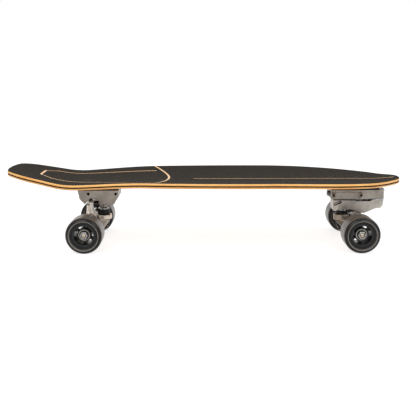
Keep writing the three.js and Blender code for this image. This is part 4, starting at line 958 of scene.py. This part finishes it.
def buildBolt(name, node, x, y, cfg):
    # the head stands rise over the board's surface there, the shank ends at the node's bottom
    top = float(deckHeight(np.array(x), y / halfWidth(x))) + cfg["rise"]
    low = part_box(node)[0][2] / mm
    head = rounded(raised(cfg["head"], top), cfg["headRadii"], 3)
    bar = lathe(np.vstack([head, raised(cfg["shank"], low)]), cfg["steps"], (x, y, 0))
    nut = rounded(raised(cfg["nut"], low), cfg["nutRadii"], 3)
    nut = hexBar(nut, cfg["flats"], cfg["nutSteps"], (x, y, 0))
    makePiece(name, joined(bar, nut), "boltSteel", "board", node, cfg["sharp"])


def buildBolts(cfg):
    alongHalf, acrossHalf = cfg["spacing"][0] / 2, cfg["spacing"][1] / 2
    places = [(f"deck_bolt_{end}_{word}_{side}", middle + dx, dy)
              for end, middle in zip(trucks, cfg["middles"])
              for word, dx in (("tailward", -alongHalf), ("noseward", alongHalf))
              for side, dy in (("right", -acrossHalf), ("left", acrossHalf))]
    for number, (node, x, y) in enumerate(places):
        buildBolt(f"deckBolt{number}", node, x, y, cfg)


spring = {
    "start": 259.6, "end": 285.0, "height": 97.5, "mean": 4.6, "wire": 1.25, "curls": 6,
    "closing": 0.028, "curlSteps": 48, "sides": 14, "endScale": 1e-4, "sharp": 50}


def springWire(cfg):
    # helix whose pitch closes at both ends, as a tube: centre line plus a circle in its normal plane
    turn = np.linspace(0, 1, cfg["curlSteps"] * cfg["curls"])
    eased = turn - cfg["closing"] * np.sin(2 * np.pi * turn)
    angle = 2 * np.pi * cfg["curls"] * turn
    x = cfg["start"] + cfg["wire"] + (cfg["end"] - cfg["start"] - 2 * cfg["wire"]) * eased
    line = np.stack([x, cfg["mean"] * np.cos(angle), cfg["height"] + cfg["mean"] * np.sin(angle)], 1)
    outward = np.stack([0 * x, np.cos(angle), np.sin(angle)], 1)
    side = np.cross(unit(np.gradient(line, axis=0)), outward)
    circle = turned(cfg["sides"])[None, :, None]
    radius = np.full(len(x), cfg["wire"])
    radius[0] = radius[-1] = cfg["wire"] * cfg["endScale"]
    ring = np.cos(circle) * outward[:, None] + np.sin(circle) * side[:, None]
    return tube(line[:, None] + radius[:, None, None] * ring)


for endName in trucks:
    buildRiser(endName, riser)
buildBolts(bolt)
coil = makePiece("returnSpring", springWire(spring), "springSteel", "board", "front_return_spring",
                 spring["sharp"])
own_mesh(coil)
print("risers, bolts and spring built")


# Castings: the CAD solid joined with true round forms, then skinned over and its edges worn round

casting = {
    "voxel": 0.75, "fineVoxel": 0.62, "softness": 0.5, "passes": 2, "steps": 72, "smallSteps": 48,
    "arm": [(0, -76.5), (7.4, -76.5), (8.2, -75.7), (9.2, -60), (10.5, -20)],
    "ring": (7.2, 16.0, 9.0), "rim": (13.4, 16.6), "rimHigh": 3.6, "ringEdge": 0.8,
    "nose": [(0.02, -5.0), (3.54, -3.54), (5.0, 0.0), (6.8, 9.0), (5.0, 14.0), (0.02, 14.0)],
    "holeHeights": (100.9, 97.5), "holeReach": 2.1, "holeSpread": 1.6,
    "boss": (2.8, 4.6), "bossHigh": 0.8, "bossDeep": 0.6, "bossEdge": 0.3}
saddle = {
    "start": 9.0, "top": -1.6, "seatBack": 13.5, "seatGap": 1.5, "thick": 5.8, "from": 9.5, "to": 16.0,
    "steps": 16, "edge": 0.5, "closed": 1e-3}
armEnd = {"end": 253.0, "still": 268.0, "pull": 3.0}


def triangles(faces):
    # quads cut along one diagonal; triangles stay
    return faces if faces.shape[1] == 3 else np.concatenate([faces[:, [0, 1, 2]], faces[:, [0, 2, 3]]])


def cadSurface(node):
    # a CAD node's points in millimetres and its triangles
    mesh = nodes[node].data
    points = np.empty(len(mesh.vertices) * 3)
    mesh.vertices.foreach_get("co", points)
    corners = np.empty(len(mesh.loops), int)
    mesh.loops.foreach_get("vertex_index", corners)
    return points.reshape(-1, 3) / mm, corners.reshape(-1, 3)


def opened(points, holes, cfg=casting):
    # side holes opened out: points near a hole's axis (x, z) go to holeSpread times their distance from it
    flat = points[:, [0, 2]]
    for hole in holes:
        out = flat - hole
        near = np.hypot(*out.T)[:, None] < cfg["holeReach"]
        flat = np.where(near, hole + out * cfg["holeSpread"], flat)
    return np.stack([flat[:, 0], points[:, 1], flat[:, 1]], 1)


def drawnIn(points, cfg):
    # an end drawn forwards: x plus pull times one less the smooth step of x between its two marks
    moved = points[:, 0] + cfg["pull"] * (1 - smooth(points[:, 0], cfg["end"], cfg["still"]))
    return np.stack([moved, points[:, 1], points[:, 2]], 1)


def castPiece(name, node, body, finish, voxel, forms=(), holes=(), drawn=None, cfg=casting):
    # the node's own surface with the forms in it, skinned over at voxel size, then its edges worn
    shell, faces = cadSurface(node)
    shell = opened(shell, holes)
    if drawn:
        shell = drawnIn(shell, drawn)
    surfaces = [(shell, faces)] + [(points, triangles(quads)) for points, quads in forms]
    piece = makePiece(name, joined(*surfaces), finish, body, node, 180)
    skin = piece.modifiers.new("skin", "REMESH")
    skin.mode = "VOXEL"
    skin.voxel_size = voxel * mm
    skin.use_smooth_shade = True
    worn = piece.modifiers.new("worn", "SMOOTH")
    worn.factor = cfg["softness"]
    worn.iterations = cfg["passes"]


def saddleRib(end, cfg):
    # rounded bar under the saddle: quadratic curve in the side view, its section widening towards the ring
    place, facingWay = trucks[end], -1 if end == "front" else 1
    pivot, ring = (np.array([cups[end][word][0], cups[end][word][2]]) for word in ("pivot", "ring"))
    along = unit(ring - pivot)
    out = np.array([-along[1], along[0]]) * facingWay
    start = pivot + cfg["start"] * along + cfg["top"] * out
    seat = np.array([place["kingpin"] - facingWay * cfg["seatBack"],
                     place["ring"] - cfg["thick"] - cfg["seatGap"]])
    knee = np.array([start[0], seat[1]])
    t = np.linspace(0, 1, cfg["steps"])[:, None]
    line = start * (1 - t) ** 2 + knee * 2 * t * (1 - t) + seat * t ** 2
    tangent = unit(np.gradient(line, axis=0))
    normal = np.stack([-tangent[:, 1], tangent[:, 0]], 1)
    half = cfg["from"] + (cfg["to"] - cfg["from"]) * t
    thick = np.full_like(half, cfg["thick"])
    for size in (half, thick):
        size[0] = size[-1] = cfg["closed"]
    loop = rounded([(-1, -1), (1, -1), (1, 1), (-1, 1)], [cfg["edge"]] * 4, 4)
    side = line[:, None] + normal[:, None] * loop[None, :, :1] * thick[:, None]
    return tube(np.stack([side[..., 0], loop[None, :, 1] * half, side[..., 1]], -1))


def hangerForms(end, cfg):
    # round arm about the axle, ring and rim about the kingpin, nose about the lean axis, and the rib
    place = trucks[end]
    inner, outer, thick = cfg["ring"]
    top, seat = place["ring"], (place["kingpin"], 0, 0)
    along = np.subtract(cups[end]["ring"], cups[end]["pivot"])
    forms = [lathe(mirrored(cfg["arm"]), cfg["steps"], (place["x"], 0, axleHeight), across),
             lathe(box(inner, outer, top - thick, top, cfg["ringEdge"]), cfg["steps"], seat),
             lathe(cfg["nose"], cfg["smallSteps"], cups[end]["pivot"], along), saddleRib(end, saddle)]
    if end == "front":
        rim = box(*cfg["rim"], top - thick / 2, top + cfg["rimHigh"], cfg["ringEdge"])
        forms.append(lathe(rim, cfg["steps"], seat))
    return forms


def sideHoles(middle, height):
    # (x, z) of the two holes, half the bolt spacing each way from the truck's middle
    return [np.array((middle + along * bolt["spacing"][0] / 2, height)) for along in (-1, 1)]


def holeBosses(node, holes, cfg):
    # a low ring round each hole on both side faces
    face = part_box(node)[1][1] / mm
    ring = box(*cfg["boss"], face - cfg["bossDeep"], face + cfg["bossHigh"], cfg["bossEdge"])
    return [lathe(ring, cfg["smallSteps"], (hole[0], 0, hole[1]), (0, sign, 0))
            for hole in holes for sign in (-1, 1)]


def buildCastings(cfg):
    rearHoles, frontHoles = (sideHoles(*place) for place in zip(bolt["middles"], cfg["holeHeights"]))
    bosses = holeBosses("front_spring_housing", frontHoles, cfg)
    fine = cfg["fineVoxel"]
    castPiece("rearBase", "rear_base_plate", "board", "castMetal", fine, holes=rearHoles)
    castPiece("springHousing", "front_spring_housing", "board", "castMetal", fine, bosses, frontHoles)
    # the swing arm's finish is the casting painted lighter, as painted light
    castPiece("swingArm", "front_swing_arm", "swing_arm", "litArmMetal", fine, drawn=armEnd)
    # the rear hanger's finish is the casting painted lighter, as painted light; the front hanger's is painted
    # shade
    for end, finish in (("rear", "litHangerMetal"), ("front", "shadedMetal")):
        castPiece(f"{end}Hanger", f"{end}_hanger", trucks[end]["hanger"], finish, cfg["voxel"],
                  hangerForms(end, cfg))


buildCastings(casting)
print("castings built")


# Studio

studio = {"floorSize": 12.0, "floorTone": 0.8, "seenTone": 0.4, "seenGlow": 0.8, "sky": 0.55, "lamps": [
    # place in metres, size, watts, aims at
    ((-0.7, -1.3, 1.5), 1.2, 15.0, (0, 0, 0.08)),
    ((0.9, -1.0, 1.1), 1.0, 8.0, (0, 0, 0.08)),
    ((0.0, 1.2, 1.4), 1.4, 8.0, (0, 0, 0.1)),
]}


def seenRays(tree):
    # 1 for camera, glossy and transmission rays, 0 for the rays that light things
    path = addNode(tree, "LightPath", {})
    seen = combine(tree, "MAXIMUM", path.outputs["Is Camera Ray"], path.outputs["Is Glossy Ray"])
    return combine(tree, "MAXIMUM", seen, path.outputs["Is Transmission Ray"])


def buildFloor(cfg):
    # plain diffuse where it lights, half diffuse and half glow where it is seen, so its shadow stays
    half = cfg["floorSize"] / 2
    mesh = bpy.data.meshes.new("floor")
    corners = [(-half, -half, 0), (half, -half, 0), (half, half, 0), (-half, half, 0)]
    mesh.from_pydata(corners, [], [(0, 1, 2, 3)])
    floor = bpy.data.objects.new("floor", mesh)
    scene.collection.objects.link(floor)
    mat = bpy.data.materials.new("paleFloor")
    mat.use_nodes = True
    tree = mat.node_tree
    tree.nodes.clear()
    lit = addNode(tree, "BsdfDiffuse", {"Color": grey(cfg["floorTone"])})
    dim = addNode(tree, "BsdfDiffuse", {"Color": grey(cfg["seenTone"])})
    glow = addNode(tree, "Emission", {"Color": grey(1.0), "Strength": cfg["seenGlow"]})
    both = addNode(tree, "AddShader", {0: dim.outputs[0], 1: glow.outputs[0]})
    pick = addNode(tree, "MixShader", {0: seenRays(tree), 1: lit.outputs[0], 2: both.outputs[0]})
    addNode(tree, "OutputMaterial", {"Surface": pick.outputs[0]})
    mesh.materials.append(mat)


def buildSky(cfg):
    # white where it is seen, dimmer where it lights
    world = bpy.data.worlds.new("studio")
    world.use_nodes = True
    tree = world.node_tree
    tree.nodes.clear()
    light = {"Value": seenRays(tree), "To Min": cfg["sky"], "To Max": 1.0}
    level = addNode(tree, "MapRange", light).outputs[0]
    sky = addNode(tree, "Background", {"Color": grey(1.0), "Strength": level})
    addNode(tree, "OutputWorld", {"Surface": sky.outputs[0]})
    scene.world = world


def buildLamps(cfg):
    for number, (place, size, watts, aim) in enumerate(cfg["lamps"]):
        light = bpy.data.lights.new(f"softbox{number}", "AREA")
        light.size = size
        light.energy = watts
        lamp = bpy.data.objects.new(f"softbox{number}", light)
        lamp.location = place
        lamp.rotation_euler = (Vector(aim) - Vector(place)).to_track_quat("-Z", "Y").to_euler()
        scene.collection.objects.link(lamp)


buildFloor(studio)
buildSky(studio)
buildLamps(studio)
scene.view_settings.view_transform = "Standard"
print("studio built")
